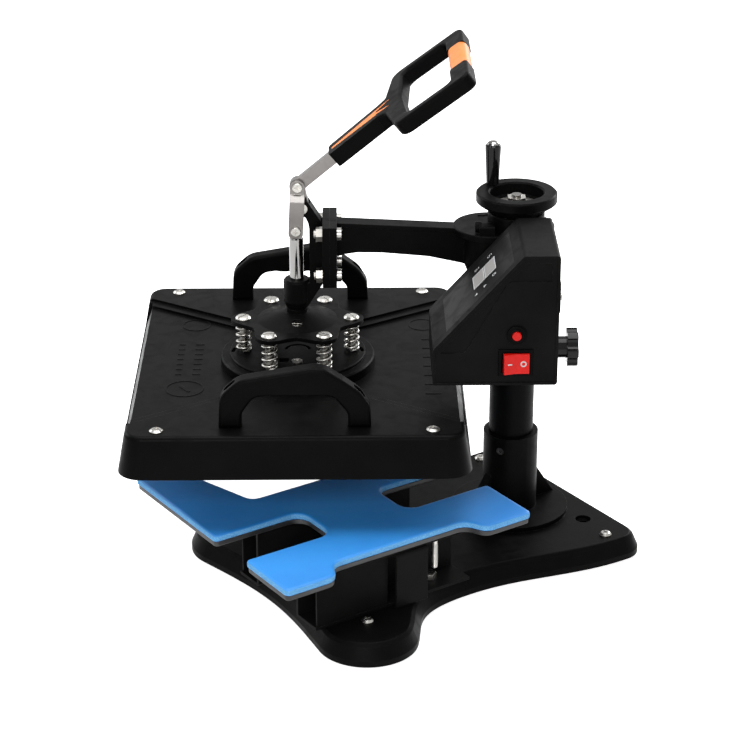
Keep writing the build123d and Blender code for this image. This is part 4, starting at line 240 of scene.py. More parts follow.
# %% A helper that builds a node group
def new_group(name, inputs, outputs):
    """An empty shader group with float, vector or colour sockets, and its in and out nodes."""
    group = bpy.data.node_groups.new(name, "ShaderNodeTree")
    kinds = {"f": "NodeSocketFloat", "v": "NodeSocketVector", "c": "NodeSocketColor"}
    for label, kind, value in inputs:
        socket = group.interface.new_socket(label, in_out="INPUT", socket_type=kinds[kind])
        if value is not None:
            socket.default_value = value
    for label, kind in outputs:
        group.interface.new_socket(label, in_out="OUTPUT", socket_type=kinds[kind])
    return group, group.nodes.new("NodeGroupInput"), group.nodes.new("NodeGroupOutput")

# %% [markdown]
# **Grain** is the small relief of a surface: orange peel on paint, sparkle on powder coat, spark marks on
# moulded plastic. Two noises of different size are added; the coarse one is weaker. **Patina** is the slow
# change of tone and gloss over a large face from handling and dust.

# %% Grain and patina
COARSE_SCALE, COARSE_HEIGHT = 0.33, 0.5

def make_grain():
    """Height = fine noise + 0.5 x noise of a third of the scale, both on object coordinates."""
    group, enter, leave = new_group("grain", [("Scale", "f", 1000.0)], [("Height", "f"), ("Speckle", "f")])
    place, scale = step(group, "ShaderNodeTexCoord").outputs["Object"], enter.outputs["Scale"]
    third = combine(group, "MULTIPLY", scale, COARSE_SCALE)
    fine = step(group, "ShaderNodeTexNoise", [(place, "Vector"), (scale, "Scale")], Detail=2.0)
    coarse = step(group, "ShaderNodeTexNoise", [(place, "Vector"), (third, "Scale")], Detail=1.0)
    low = combine(group, "MULTIPLY", coarse.outputs["Fac"], COARSE_HEIGHT)
    group.links.new(combine(group, "ADD", low, fine.outputs["Fac"]), leave.inputs["Height"])
    group.links.new(fine.outputs["Fac"], leave.inputs["Speckle"])
    return group

def make_patina():
    """Tone and gloss masks: broad noise, stretched between two levels around its middle."""
    group, enter, leave = new_group("patina", [("Scale", "f", 14.0)], [("Tone", "f"), ("Smudge", "f")])
    place, scale = step(group, "ShaderNodeTexCoord").outputs["Object"], enter.outputs["Scale"]
    broad = step(group, "ShaderNodeTexNoise", [(place, "Vector"), (scale, "Scale")], Detail=4.0)
    tone = step(group, "ShaderNodeMapRange", [(broad.outputs["Fac"], "Value")], From_Min=0.35, From_Max=0.65)
    smear = step(group, "ShaderNodeTexNoise", [(place, "Vector")], Scale=55.0, Detail=3.0, Distortion=0.8)
    spots = step(group, "ShaderNodeMapRange", [(smear.outputs["Fac"], "Value")], From_Min=0.42, From_Max=0.68)
    group.links.new(tone.outputs["Result"], leave.inputs["Tone"])
    group.links.new(spots.outputs["Result"], leave.inputs["Smudge"])
    return group

grain, patina = make_grain(), make_patina()
print("shared effects:", grain.name, patina.name)

# %% [markdown]
# ** Edge** finds convex and concave edges. The Bevel node gives the normal that a slightly rounded edge would
# have; where it turns away from the true normal there is an edge. The rounded normal also goes on to the
# bump, so every hard edge of a solid catches a thin line of light, as a painted or moulded edge does. The
# mask also lightens the colour along edges: partly edge wear, partly a painted highlight.

# %% Edge
def make_edge():
    """Mask = (1 - rounded normal . true normal) x gain, broken up by noise; Normal = the rounded normal."""
    group, enter, leave = new_group("edge", [("Radius", "f", 0.0005), ("Gain", "f", 6.0)],
                                    [("Mask", "f"), ("Normal", "v")])
    rounded = step(group, "ShaderNodeBevel", [(enter.outputs["Radius"], "Radius")], p_samples=4).outputs[0]
    true = step(group, "ShaderNodeNewGeometry").outputs["Normal"]
    dot = step(group, "ShaderNodeVectorMath", [(rounded, 0), (true, 1)], p_operation="DOT_PRODUCT")
    away = combine(group, "SUBTRACT", 1.0, dot.outputs["Value"])
    gained = combine(group, "MULTIPLY", away, enter.outputs["Gain"], p_use_clamp=True)
    place = step(group, "ShaderNodeTexCoord").outputs["Object"]
    breaks = step(group, "ShaderNodeTexNoise", [(place, "Vector")], Scale=160.0, Detail=3.0)
    kept = step(group, "ShaderNodeMapRange", [(breaks.outputs["Fac"], "Value")], From_Min=0.4, From_Max=0.6)
    group.links.new(combine(group, "MULTIPLY", gained, kept.outputs["Result"]), leave.inputs["Mask"])
    group.links.new(rounded, leave.inputs["Normal"])
    return group

edge = make_edge()

# %% [markdown]
# ## Finishes
# One function lays the common steps out: colour mixed by patina and, at edges, by edge wear and a painted
# highlight, roughness moved by smudges, and a bump of the grain on top of the rounded edges. Each finish then
# gives its own colours and values.

# %% A finish from its values
GLOW_DEPTH = 0.001      # how far light goes into plastic and foam

def scratches(tree, scale, turn, squeeze):
    """Noise on coordinates that are turned and squeezed, which draws it out into parallel lines."""
    place = step(tree, "ShaderNodeTexCoord").outputs["Object"]
    long_way = step(tree, "ShaderNodeMapping", [(place, "Vector")], Rotation=turn, Scale=squeeze)
    lines = step(tree, "ShaderNodeTexNoise", [(long_way.outputs[0], "Vector")], Scale=scale, Detail=4.0)
    return lines.outputs["Fac"]

def finish(name, base, wear_highlight_colour, rough, grain_scale, grain_depth, metallic=0.0, wear_highlight_amount=0.5, radius=0.0005, tone=0.25,
           smudge=0.12, coat=0.0, stretch=None, subsurface=0.0, specular=0.5):
    """Base colour = base changed by patina, towards a lighter edge colour at edges (edge wear and a painted
    highlight); bump distance in metres.
    """
    paint, tree = new_material(name)
    soil = step(tree, "ShaderNodeGroup", p_node_tree=patina)
    rim = step(tree, "ShaderNodeGroup", p_node_tree=edge, Radius=radius)
    body = mixed(tree, soil.outputs["Tone"], [c * (1 - tone) for c in base], [c * (1 + tone) for c in base])
    # painted highlight: along edges the colour goes towards the lighter edge colour, which also stands for edge
    # wear
    colour = mixed(tree, combine(tree, "MULTIPLY", rim.outputs["Mask"], wear_highlight_amount), body, wear_highlight_colour)
    gloss = step(tree, "ShaderNodeMapRange", [(soil.outputs["Smudge"], "Value")],
                 To_Min=rough, To_Max=min(1.0, rough + smudge))
    if stretch is None:
        height = step(tree, "ShaderNodeGroup", p_node_tree=grain, Scale=grain_scale).outputs["Height"]
    else:
        height = scratches(tree, grain_scale, *stretch)
    bump = step(tree, "ShaderNodeBump", [(height, "Height"), (rim.outputs["Normal"], "Normal")],
                Distance=grain_depth, Strength=0.6)
    shader = step(tree, "ShaderNodeBsdfPrincipled",
                  [(colour, "Base Color"), (gloss.outputs["Result"], "Roughness"), (bump.outputs[0], "Normal")],
                  Metallic=metallic, Coat_Weight=coat, Specular_IOR_Level=specular,
                  Subsurface_Weight=subsurface, Subsurface_Scale=GLOW_DEPTH)
    step(tree, "ShaderNodeOutputMaterial", [(shader.outputs[0], "Surface")])
    return paint

# %% [markdown]
# Nearly everything is black, so the blacks must differ in gloss and grain. Castings are satin with a soft
# orange peel. Folded sheet is powder coated with a fine, drier sparkle. The platen's heat proof coating is
# smoother. Moulded handles have a fine spark grain and the thermoset knobs are polished.

# %% Paints and plastics
SHEEN = 0.03            # the blacks mirror little of the white room when seen head on

# the second colour of each finish is its edge colour: edge wear and a painted highlight
paints = {
    "cast_black": finish("cast_black", (0.0026, 0.0025, 0.0025), (0.034, 0.033, 0.034), 0.36, 420, 0.00012,
                         wear_highlight_amount=0.6, radius=0.0009, specular=SHEEN),
    "sheet_black": finish("sheet_black", (0.0058, 0.0056, 0.0056), (0.05, 0.049, 0.05), 0.44, 1500, 0.00006,
                          wear_highlight_amount=0.6, specular=SHEEN),
    "platen_black": finish("platen_black", (0.0027, 0.0026, 0.0026), (0.036, 0.035, 0.036), 0.33, 900, 0.00003,
                           wear_highlight_amount=0.6, specular=SHEEN),
    "plastic_black": finish("plastic_black", (0.0022, 0.0021, 0.0021), (0.03, 0.029, 0.03), 0.42, 1300, 0.00004,
                            wear_highlight_amount=0.6, radius=0.0007, specular=SHEEN),
    "knob_black": finish("knob_black", (0.004, 0.004, 0.0045), (0.05, 0.05, 0.05), 0.2, 700, 0.00001,
                         wear_highlight_amount=0.2, coat=0.3, specular=SHEEN),
    "film_black": finish("film_black", (0.0085, 0.0083, 0.0085), (0.09, 0.09, 0.09), 0.3, 1700, 0.00002,
                         wear_highlight_amount=0.3, specular=SHEEN),
    "rubber_black": finish("rubber_black", (0.007, 0.007, 0.007), (0.08, 0.08, 0.08), 0.75, 800, 0.00008,
                           specular=SHEEN),
    "plastic_orange": finish("plastic_orange", (0.8, 0.2, 0.025), (0.95, 0.45, 0.2), 0.4, 1200, 0.00004,
                             wear_highlight_amount=0.25, tone=0.08, subsurface=0.05),
    "plastic_red": finish("plastic_red", (0.72, 0.007, 0.004), (0.85, 0.2, 0.15), 0.2, 900, 0.00001,
                          wear_highlight_amount=0.25, tone=0.1, coat=0.06, subsurface=0.05, specular=0.15),
    "window_grey": finish("window_grey", (0.34, 0.33, 0.325), (0.6, 0.6, 0.6), 0.3, 1500, 0.00001,
                          wear_highlight_amount=0.1, tone=0.05, smudge=0.04, specular=0.1),
    "board_green": finish("board_green", (0.02, 0.16, 0.06), (0.4, 0.35, 0.1), 0.3, 600, 0.00004),
    "wool_white": finish("wool_white", (0.6, 0.58, 0.52), (0.7, 0.68, 0.62), 0.9, 500, 0.0006, wear_highlight_amount=0.2),
}

# %% [markdown]
# Metals are told apart by their lines and tint. Rolled and ground steel has fine parallel scratches, made of
# a noise that a Mapping node stretches along the piece. Zinc plate is slightly blotchy and a little yellow or
# blue; chrome is nearly a mirror with faint smudges.

# %% Metals
ALONG_LEVER = ((0.0, 0.0, SWING), (1.0, 0.06, 0.06))

# the second colour of each metal is its edge colour: edge wear and a painted highlight
metals = {
    "zinc": finish("zinc", (0.42, 0.41, 0.385), (0.8, 0.79, 0.76), 0.24, 500, 0.00003,
                   metallic=1.0, tone=0.18, smudge=0.2, radius=0.0003),
    "bright_steel": finish("bright_steel", (0.17, 0.162, 0.156), (0.45, 0.45, 0.45), 0.28, 900, 0.00003,
                           metallic=1.0, tone=0.12, smudge=0.16, stretch=ALONG_LEVER),
    "dark_steel": finish("dark_steel", (0.045, 0.045, 0.047), (0.35, 0.35, 0.35), 0.42, 500, 0.00005,
                         metallic=0.7),
    "chrome": finish("chrome", (0.24, 0.236, 0.232), (0.5, 0.5, 0.5), 0.07, 300, 0.000005,
                     metallic=1.0, tone=0.05, smudge=0.1),
    "aluminium": finish("aluminium", (0.65, 0.66, 0.67), (0.85, 0.85, 0.85), 0.3, 700, 0.00003,
                        metallic=1.0, tone=0.1),
    "bronze": finish("bronze", (0.45, 0.28, 0.1), (0.7, 0.5, 0.25), 0.3, 600, 0.00003,
                     metallic=1.0, tone=0.15),
}
finishes = {**paints, **metals}

# %% Every solid takes the finish of its slot
slot_of = {entry["node"]: entry["material_slot"] for entry in frame["record"]["subparts"]}
for name, solid in nodes.items():
    for number in range(len(solid.material_slots)):
        solid.material_slots[number].link = "OBJECT"
        solid.material_slots[number].material = finishes.get(slot_of[name], paints["rubber_black"])
print("finishes on solids:", len(set(slot_of.values())))

# %% [markdown]
# ## The foam pad
# The lower platen carries a slab of closed cell silicone foam, cut with a knife to a shape that lets a shoe
# hang through its slots. A solid with sharp edges looks like painted metal, so the slab is made again: its
# outline is filled with a fine even net, the cut edges are softened, and the top gets a slight unevenness.

# %% Outline of the pad
HEAD_Y = -0.104         # where the plunger's axis stands over the pad when the head is in line

def prism_faces(n):
    """Faces of two rings of n points, low then high: the side quads and the two flat ends."""
    ring = np.arange(n)
    sides = np.stack([ring, (ring + 1) % n, (ring + 1) % n + n, ring + n], -1).tolist()
    return sides + [list(range(n - 1, -1, -1)), list(range(n, 2 * n))]

def round_corners(corners, steps=10):
    """Each corner (x, y, r) becomes an arc of radius r, tangent to both sides, as points of one array."""
    c = np.array([corner[:2] for corner in corners])
    r = np.array([corner[2] for corner in corners])
    back, ahead = np.roll(c, 1, 0) - c, np.roll(c, -1, 0) - c
    back /= np.linalg.norm(back, axis=1)[:, None]
    ahead /= np.linalg.norm(ahead, axis=1)[:, None]
    half = np.arccos(np.clip((back * ahead).sum(1), -1, 1)) / 2
    centre = c + (back + ahead) / np.linalg.norm(back + ahead, axis=1)[:, None] * (r / np.sin(half))[:, None]
    start = c + back * (r / np.tan(half))[:, None] - centre
    finish_at = c + ahead * (r / np.tan(half))[:, None] - centre
    a0 = np.arctan2(start[:, 1], start[:, 0])
    turn = np.angle(np.exp(1j * (np.arctan2(finish_at[:, 1], finish_at[:, 0]) - a0)))
    a = a0[:, None] + turn[:, None] * np.linspace(0, 1, steps)[None, :]
    arcs = centre[:, None, :] + r[:, None, None] * np.stack([np.cos(a), np.sin(a)], -1)
    return arcs.reshape(-1, 2)

half_pad = [(0.113, 0.075, 0.014), (0.135, 0.086, 0.012), (0.135, 0.1395, 0.004), (0.063, 0.1395, 0.004),
            (0.063, 0.043, 0.015), (0.008, 0.043, 0.015), (0.008, 0.1395, 0.004), (-0.146, 0.1395, 0.004),
            (-0.146, 0.098, 0.004), (-0.040, 0.069, 0.010)]
other_half = [(x, -y, r) for x, y, r in reversed(half_pad)]
outline = round_corners(half_pad + other_half) + np.array([0, HEAD_Y])
pad_low, pad_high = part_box("pressing_pad")
print("pad outline points:", len(outline), "solid pad:", [round(v, 4) for v in pad_high - pad_low])

# %% [markdown]
# The net is Blender's voxel remesh of the extruded outline. It gives small even squares everywhere, which a
# displacement needs, and it rounds the cut edges by about one voxel.

# %% The slab
def foam_slab(voxel=0.0016):
    """Extrude the outline by the foam's thickness, remesh it evenly and keep only the finished mesh."""
    n = len(outline)
    low = np.column_stack([outline, np.full(n, pad_low.z)])
    high = np.column_stack([outline, np.full(n, pad_high.z)])
    mesh = bpy.data.meshes.new("foam_pad")
    mesh.from_pydata(np.vstack([low, high]).tolist(), [], prism_faces(n))
    slab = bpy.data.objects.new("foam_pad", mesh)
    bpy.context.scene.collection.objects.link(slab)
    even = slab.modifiers.new("even net", "REMESH")
    even.mode, even.voxel_size, even.use_smooth_shade = "VOXEL", voxel, True
    soft = slab.modifiers.new("soft edges", "SMOOTH")
    soft.factor, soft.iterations = 0.5, 3
    made = bpy.data.meshes.new_from_object(slab.evaluated_get(bpy.context.evaluated_depsgraph_get()))
    slab.modifiers.clear()
    slab.data = made
    return slab

def soften(slab, sink=0.00035):
    """Lower the top by sink times a mix of sine waves, scaled by the square of the height in the slab, kept
    inside it.
    """
    count = len(slab.data.vertices)
    p = np.empty(count * 3)
    slab.data.vertices.foreach_get("co", p)
    p = p.reshape(-1, 3)
    top = np.clip((p[:, 2] - pad_low.z) / (pad_high.z - pad_low.z), 0, 1)
    wave = 0.5 + 0.5 * np.sin(61 * p[:, 0] + 2.1) * np.sin(53 * p[:, 1] + 0.4)
    ripple = 0.5 + 0.5 * np.sin(310 * p[:, 0] + 90 * p[:, 1]) * np.sin(270 * p[:, 1] - 60 * p[:, 0])
    p[:, 2] -= sink * top ** 2 * (0.7 * wave + 0.3 * ripple)
    p[:, 2] = np.clip(p[:, 2], pad_low.z, pad_high.z)
    slab.data.vertices.foreach_set("co", p.ravel())
    slab.data.update()
    return count

foam = foam_slab()
print("foam net points:", soften(foam))

# %% [markdown]
# Silicone foam is dense and slightly shiny, bright blue on its moulded skin. The knife opens tiny bubbles on
# the cut sides, which look paler and speckled. The side is found from the normal: where it lies flat, the
# colour changes to the cut one.

# %% Foam finish
def foam_finish():
    """Skin or cut by the normal's z; bubbles are a Voronoi distance used as bump and as pale specks."""
    paint, tree = new_material("foam_blue")
    place = step(tree, "ShaderNodeTexCoord").outputs
    facing = step(tree, "ShaderNodeSeparateXYZ", [(place["Normal"], 0)])
    flat = step(tree, "ShaderNodeMath", [(facing.outputs["Z"], 0)], p_operation="ABSOLUTE")
    cut = step(tree, "ShaderNodeMapRange", [(flat.outputs[0], "Value")],
               From_Min=0.75, From_Max=0.35).outputs["Result"]
    bubbles = step(tree, "ShaderNodeTexVoronoi", [(place["Object"], "Vector")], Scale=1400.0)
    specks = step(tree, "ShaderNodeMapRange", [(bubbles.outputs["Distance"], "Value")],
                  From_Min=0.2, From_Max=0.75).outputs["Result"]
    soil = step(tree, "ShaderNodeGroup", p_node_tree=patina, Scale=9.0)
    skin = mixed(tree, soil.outputs["Tone"], (0.022, 0.25, 0.74), (0.03, 0.30, 0.82))
    side = mixed(tree, specks, (0.04, 0.27, 0.66), (0.2, 0.52, 0.86))
    gloss = step(tree, "ShaderNodeMapRange", [(cut, "Value")], To_Min=0.5, To_Max=0.85)
    relief = step(tree, "ShaderNodeGroup", p_node_tree=grain, Scale=1100.0)
    height = combine(tree, "ADD", relief.outputs["Height"], combine(tree, "MULTIPLY", specks, cut))
    bump = step(tree, "ShaderNodeBump", [(height, "Height")], Distance=0.00012, Strength=0.7)
    shader = step(tree, "ShaderNodeBsdfPrincipled",
                  [(mixed(tree, cut, skin, side), "Base Color"), (gloss.outputs["Result"], "Roughness"),
                   (bump.outputs[0], "Normal")], Subsurface_Weight=0.08, Subsurface_Scale=GLOW_DEPTH)
    step(tree, "ShaderNodeOutputMaterial", [(shader.outputs[0], "Surface")])
    return paint

foam.data.materials.clear()
foam.data.materials.append(foam_finish())
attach(foam, "base")
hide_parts("pressing_pad")

# %% [markdown]
# ## Threads
# The solids hold plain rods. Where a threaded end shows, a sleeve of thread is laid over the rod: a surface of
# angle and length whose radius rises and falls with the length minus the pitch times the angle, so the ridges
# climb as a screw's do. Ends taper onto the axis, which closes the surface.

# %% Grids into meshes
def grid_faces(rows, columns, wrap=True):
    """Quads between neighbours of a rows x columns grid; wrap joins the last column to the first."""
    r = np.arange(rows - 1)[:, None]
    c = np.arange(columns if wrap else columns - 1)[None, :]
    nxt = (c + 1) % columns
    corners = [r * columns + c, r * columns + nxt, (r + 1) * columns + nxt, (r + 1) * columns + c]
    return np.stack(corners, -1).reshape(-1, 4)

def add_piece(name, points, faces, paint, body=None, smooth=True):
    """One mesh object in the row frame, with its finish, riding on a body if one is named."""
    mesh = bpy.data.meshes.new(name)
    mesh.from_pydata(np.asarray(points).reshape(-1, 3).tolist(), [], [list(f) for f in faces])
    mesh.polygons.foreach_set("use_smooth", np.full(len(mesh.polygons), smooth))
    mesh.update()
    piece = bpy.data.objects.new(name, mesh)
    bpy.context.scene.collection.objects.link(piece)
    mesh.materials.append(paint)
    if body:
        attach(piece, body)
    return piece

# %% Threaded ends
ROOT_UNDER, RIDGE = 0.00018, 0.0004     # how far the root lies under the rod's surface, and the ridge's height
TIP = 0.00001                           # radius of the closed ends

def thread(length, radius, pitch=0.001, around=20, per_pitch=8):
    """radius + ridge x triangle((z - pitch x turn) / pitch), tapered to the axis at each end."""
    rows = int(length / pitch * per_pitch) + 1
    z = np.linspace(0, length, rows)[:, None]
    turn = np.linspace(0, 1, around, endpoint=False)[None, :]
    saw = np.abs(((z - pitch * turn) / pitch) % 1.0 - 0.5) * 2
    ends = np.clip(np.minimum(z, length - z) / (0.6 * pitch), 0.55, 1)
    r = (radius - ROOT_UNDER + RIDGE * saw) * ends
    r[[0, -1], :] = TIP
    a = 2 * np.pi * turn
    points = np.stack([r * np.cos(a), r * np.sin(a), np.broadcast_to(z, r.shape)], -1)
    return points, grid_faces(rows, around)

def place_threads(name, places, length, radius, turn, body, pitch=0.001):
    """Copies of one thread at several places, as one piece; turn carries +z to the rod's direction."""
    base, quads = thread(length, radius, pitch)
    base = base.reshape(-1, 3) @ np.array(turn).T
    points = np.concatenate([base + np.array(p) for p in places])
    faces = np.concatenate([quads + i * len(base) for i in range(len(places))])
    return add_piece(name, points, faces, metals["zinc"], body)

UPRIGHT = np.eye(3)
FORWARD = np.array([[math.cos(SWING), 0, math.sin(SWING)], [-math.sin(SWING), 0, math.cos(SWING)], [0, -1, 0]])
STUD_X, STUD_Y, STUD_RADIUS, STUD_LENGTH = (0.094, -0.022), (-0.054, 0.054), 0.0031, 0.026
BOLT_X, BOLT_Y, BOLT_Z = 0.020, 0.0174, (0.2865, 0.3295)
BOLT_RADIUS, BOLT_LENGTH, BOLT_PITCH = 0.0041, 0.0026, 0.00125

stud_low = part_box("platen_studs")[0].z
stud_places = [(x, HEAD_Y + y, stud_low - 0.0002) for x in STUD_X for y in STUD_Y]
place_threads("stud_threads", stud_places, STUD_LENGTH, STUD_RADIUS, UPRIGHT, "base")
bolt_places = [head_to_row([side * BOLT_X, BOLT_Y, z]) for side in (-1, 1) for z in BOLT_Z]
place_threads("flange_bolt_threads", bolt_places, BOLT_LENGTH, BOLT_RADIUS, FORWARD, "arm", BOLT_PITCH)
print("threads on", len(stud_places) + len(bolt_places), "rods")

# %% [markdown]
# ## Springs
# A spring stands between the mount disc, on the platen, and the spider, on the plunger. When the hot plate
# floats up, the spring's foot rises and its head stays, so a rigid copy would cut through the spider. Each
# coil is built here again as a round wire on a helix with closed end turns.

# %% Coils
SPRING_RADIUS, WIRE_RADIUS, TURNS = 0.0067, 0.00125, 5
SPRINGS, RING_RADIUS = 6, 0.054

def coil(low, high, per_turn=28, around=12):
    """Wire centre R (cos 2 pi t, sin 2 pi t), z(t); the section is a circle on the radial and binormal axes."""
    closed = 2 * WIRE_RADIUS + 0.0005
    t = np.linspace(0, TURNS, TURNS * per_turn + 1)
    z = np.interp(t, [0, 1, TURNS - 1, TURNS], [low, low + closed, high - closed, high])
    radial = np.stack([np.cos(2 * np.pi * t), np.sin(2 * np.pi * t), np.zeros_like(t)], -1)
    centre = SPRING_RADIUS * radial + np.stack([np.zeros_like(t), np.zeros_like(t), z], -1)
    along = np.gradient(centre, axis=0)
    along /= np.linalg.norm(along, axis=1)[:, None]
    side = np.cross(along, radial)
    a = np.linspace(0, 2 * np.pi, around, endpoint=False)
    ring = np.cos(a)[None, :, None] * radial[:, None, :] + np.sin(a)[None, :, None] * side[:, None, :]
    points = (centre[:, None, :] + WIRE_RADIUS * ring).reshape(-1, 3)
    last = len(points) - around
    ends = [list(range(around)), list(range(last + around - 1, last - 1, -1))]
    return points, grid_faces(len(t), around).tolist() + ends

def all_coils():
    """One coil at each lobe of the spider, on a ring about the plunger."""
    low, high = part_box("platen_springs")
    points, faces = coil(low.z + WIRE_RADIUS, high.z - WIRE_RADIUS)
    turns = np.arange(SPRINGS) * 2 * np.pi / SPRINGS
    places = RING_RADIUS * np.stack([np.sin(turns), np.cos(turns), np.zeros(SPRINGS)], -1)
    everywhere = head_to_row(np.concatenate([points + place for place in places]))
    return everywhere, [[v + k * len(points) for v in face] for k in range(SPRINGS) for face in faces], low, high

points, faces, spring_low, spring_high = all_coils()
coils = add_piece("coil_springs", points, faces, metals["zinc"])
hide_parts("platen_springs")
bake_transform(coils)
print("springs:", len(points), "points between", round(spring_low.z, 4), "and", round(spring_high.z, 4))

# %% [markdown]
# ## Printed and inlaid marks
# The control box has a printed film with two windows. Beside them are two arrows, three rings and a bar, and
# the mains rocker has its I and O. Each mark is a thin flat shape that stands a tenth of a millimetre proud,
# so that it is a real surface and not a picture.

# %% Flat shapes on a plane
def on_plane(shape, origin, across, up, lift):
    """Map (u, v) to origin + u across + v up + lift along across x up, all head-frame vectors."""
    across, up = np.array(across, float), np.array(up, float)
    out = np.cross(across, up)
    s = np.asarray(shape, float)
    return head_to_row(np.array(origin) + s[..., :1] * across + s[..., 1:2] * up + lift * out)

def plate(shape, origin, across, up, low, high):
    """A thin prism: the outline at two heights, with side quads and two flat ends."""
    levels = [on_plane(shape, origin, across, up, lift) for lift in (low, high)]
    return np.vstack(levels), prism_faces(len(shape))

def frame_between(outer, inner, origin, across, up, low, high):
    """A flat frame between two outlines of n points: outer and inner, low and high, joined around."""
    n = len(outer)
    levels = [(outer, low), (outer, high), (inner, high), (inner, low)]
    points = np.concatenate([on_plane(shape, origin, across, up, lift) for shape, lift in levels])
    quads = np.concatenate([grid_faces(2, n) + k * n for k in range(3)]).tolist()
    return points, quads + [[3 * n + k, 3 * n + (k + 1) % n, (k + 1) % n, k] for k in range(n)]

def hoop(radius_out, radius_in, origin, across, up, low, high, steps=28):
    """A flat ring between two circles."""
    a = np.linspace(0, 2 * np.pi, steps, endpoint=False)
    circle = np.stack([np.cos(a), np.sin(a)], -1)
    return frame_between(circle * radius_out, circle * radius_in, origin, across, up, low, high)

def rectangle(x0, x1, y0, y1):
    """Four corners from millimetres."""
    return np.array([(x0, y0), (x1, y0), (x1, y1), (x0, y1)]) / 1000

def joined(parts):
    """Several (points, faces) pairs as one."""
    points, faces, offset = [], [], 0
    for p, f in parts:
        p = np.asarray(p).reshape(-1, 3)
        points.append(p)
        faces += [[i + offset for i in face] for face in f]
        offset += len(p)
    return np.vstack(points), faces

# %% Marks on the control box and the rocker
MARK_LOW, MARK_HIGH = -0.0001, 0.00012
SLOPE_FOOT, SLOPE_TOP = np.array([0, 0.1302, 0.2581]), np.array([0, 0.2142, 0.3522])
print_white = finish("print_white", (0.62, 0.63, 0.64), (0.7, 0.7, 0.7), 0.5, 1500, 0.00001, wear_highlight_amount=0.0, tone=0.05)

def overlay_marks():
    """Two arrows, three rings and their bars beside the windows, and a thin frame round each window.

    Places on the slope are (x, s) in millimetres: x across, s up from the slope's foot.
    """
    across = np.array([1.0, 0, 0])
    up = (SLOPE_TOP - SLOPE_FOOT) / np.linalg.norm(SLOPE_TOP - SLOPE_FOOT)
    def at(x, s):
        return SLOPE_FOOT + x / 1000 * across + s / 1000 * up
    parts = []
    for x, s, sign in ((117, 62, -1), (117, 74, 1)):
        arrow = np.array([(-2.2, -1.4 * sign), (2.2, -1.4 * sign), (0, 2.2 * sign)][::sign]) / 1000
        parts.append(plate(arrow, at(x, s), across, up, MARK_LOW, MARK_HIGH))
    parts.append(hoop(0.0024, 0.0017, at(112, 87), across, up, MARK_LOW, MARK_HIGH))
    parts.append(plate(rectangle(-0.4, 0.4, -2.0, 0.4), at(112, 89.5), across, up, 0.00002, 0.00014))
    for x, s in ((62, 66), (60, 84)):
        parts.append(hoop(0.0020, 0.0014, at(x, s), across, up, MARK_LOW, MARK_HIGH))
        parts.append(plate(rectangle(-1.6, 1.6, 3.2, 4.0), at(x, s), across, up, MARK_LOW, MARK_HIGH))
    for s in (60.5, 76.2):
        outer, inner = rectangle(72.2, 101.8, s - 0.3, s + 14.5), rectangle(73.0, 101.0, s + 0.5, s + 13.7)
        parts.append(frame_between(outer, inner, SLOPE_FOOT, across, up, MARK_LOW, 0.0003))
    return joined(parts)

def rocker_marks():
    """The I as a bar and the O as a ring, each in the tilted plane of its half of the rocker."""
    i_place, i_across = (0.14673, 0.20275, 0.2449), (-0.2424, 0.9702, 0)
    o_place, o_across = (0.14492, 0.21563, 0.2449), (-0.0344, 0.9994, 0)
    up, low, high = (0, 0, 1), -0.0002, 0.00015
    return joined([plate(rectangle(-2.1, 2.1, -0.65, 0.65), i_place, i_across, up, low, high),
                   hoop(0.0030, 0.0017, o_place, o_across, up, low, high)])

points, faces = overlay_marks()
add_piece("overlay_marks", points, faces, print_white, "arm", smooth=False)
points, faces = rocker_marks()
add_piece("rocker_marks", points, faces, print_white, "rocker", smooth=False)

# %% [markdown]
# The mains inlet is moulded with its blades in one solid. On the real one the three blades are nickel plated
# brass, so each gets a thin metal jacket, open at the root and closed at the tip.

# %% Inlet blades
BOX_BACK, INLET_FLANGE, INLET_WELL = 0.2482, 0.0032, 0.017
INLET_X, INLET_Z, BLADE_LENGTH = 0.092, 0.300, 0.0131

def blade_jackets():
    """Boxes of the blade's section plus 0.15 mm, from the well's floor to just past the blade's end."""
    floor = BOX_BACK + INLET_FLANGE - INLET_WELL + 0.0002
    section = rectangle(-1.15, 1.15, -2.15, 2.15)[::-1]
    return joined([plate(section, (INLET_X + dx, floor, INLET_Z + dz), (1, 0, 0), (0, 0, 1), -BLADE_LENGTH, 0.0)
                   for dx, dz in ((-0.007, -0.002), (0.007, -0.002), (0, 0.003))])

points, faces = blade_jackets()
add_piece("inlet_blades", points, faces, metals["zinc"], "arm", smooth=False)

# %% [markdown]
# The platen's cover is pressed with shallow raised rings and bars on both flanks, where the light breaks on
# them. A ray cast down on the solid gives the height that each one sits on.

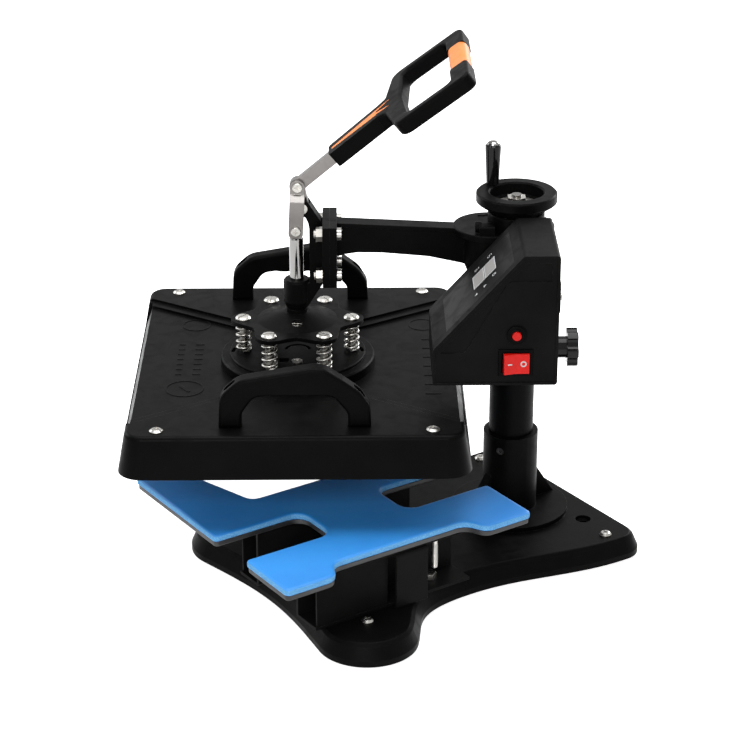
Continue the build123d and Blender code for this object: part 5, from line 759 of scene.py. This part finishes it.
# %% Relief on the cover
def height_of(solid, x, y):
    """Where a ray straight down through head point (x, y) meets the solid."""
    start = Vector(head_to_row([x, y, 0.4]))
    hit, place, _, _ = solid.ray_cast(start, Vector((0, 0, -1)))
    return place.z if hit else None

def rounded_bar(length, width, steps=7):
    """A slot-shaped outline: two half circles of half the width, joined by straight sides."""
    r = width / 2
    a = np.concatenate([np.linspace(-np.pi / 2, np.pi / 2, steps), np.linspace(np.pi / 2, 1.5 * np.pi, steps)])
    shift = np.concatenate([np.full(steps, length / 2 - r), np.full(steps, -(length / 2 - r))])
    return np.stack([shift + r * np.cos(a), r * np.sin(a)], -1)

RELIEF = 0.0004

def cover_relief():
    """Rings and bars that stand proud of the cover's two flanks by the relief."""
    cover, parts = nodes["platen_cover"], []
    across, up = (1, 0, 0), (0, 1, 0)
    def flat(shape, x, y, turn=math.pi / 2):
        c, s = math.cos(turn), math.sin(turn)
        turned = shape @ np.array([[c, s], [-s, c]])
        parts.append(plate(turned, (x, y, height_of(cover, x, y)), across, up, -RELIEF, RELIEF))
    def ring(x, y, outer, inner):
        parts.append(hoop(outer, inner, (x, y, height_of(cover, x, y)), across, up, -RELIEF, RELIEF, 48))
    ring(0.066, -0.110, 0.0190, 0.0176)
    flat(rounded_bar(0.018, 0.0035), 0.066, -0.110, 0.6)
    ring(-0.095, -0.107, 0.0150, 0.0136)
    for x in np.arange(-0.044, 0.036, 0.0125):
        flat(rounded_bar(0.0085, 0.0022), x, -0.1005)
        flat(rounded_bar(0.0065, 0.0022), x, -0.1185)
    ring(-0.094, 0.128, 0.0150, 0.0136)
    for x in np.arange(-0.055, 0.090, 0.0225):
        flat(rounded_bar(0.0155, 0.0028), x, 0.1335)
    return joined(parts)

points, faces = cover_relief()
add_piece("cover_relief", points, faces, paints["platen_black"], "platen", smooth=False)

# %% Size of the dressed model
low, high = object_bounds()
grown = [[round(v * 1000, 2) for v in gap] for gap in (cad_low - low, high - cad_high)]
print("dressed box grows by (mm):", *grown)
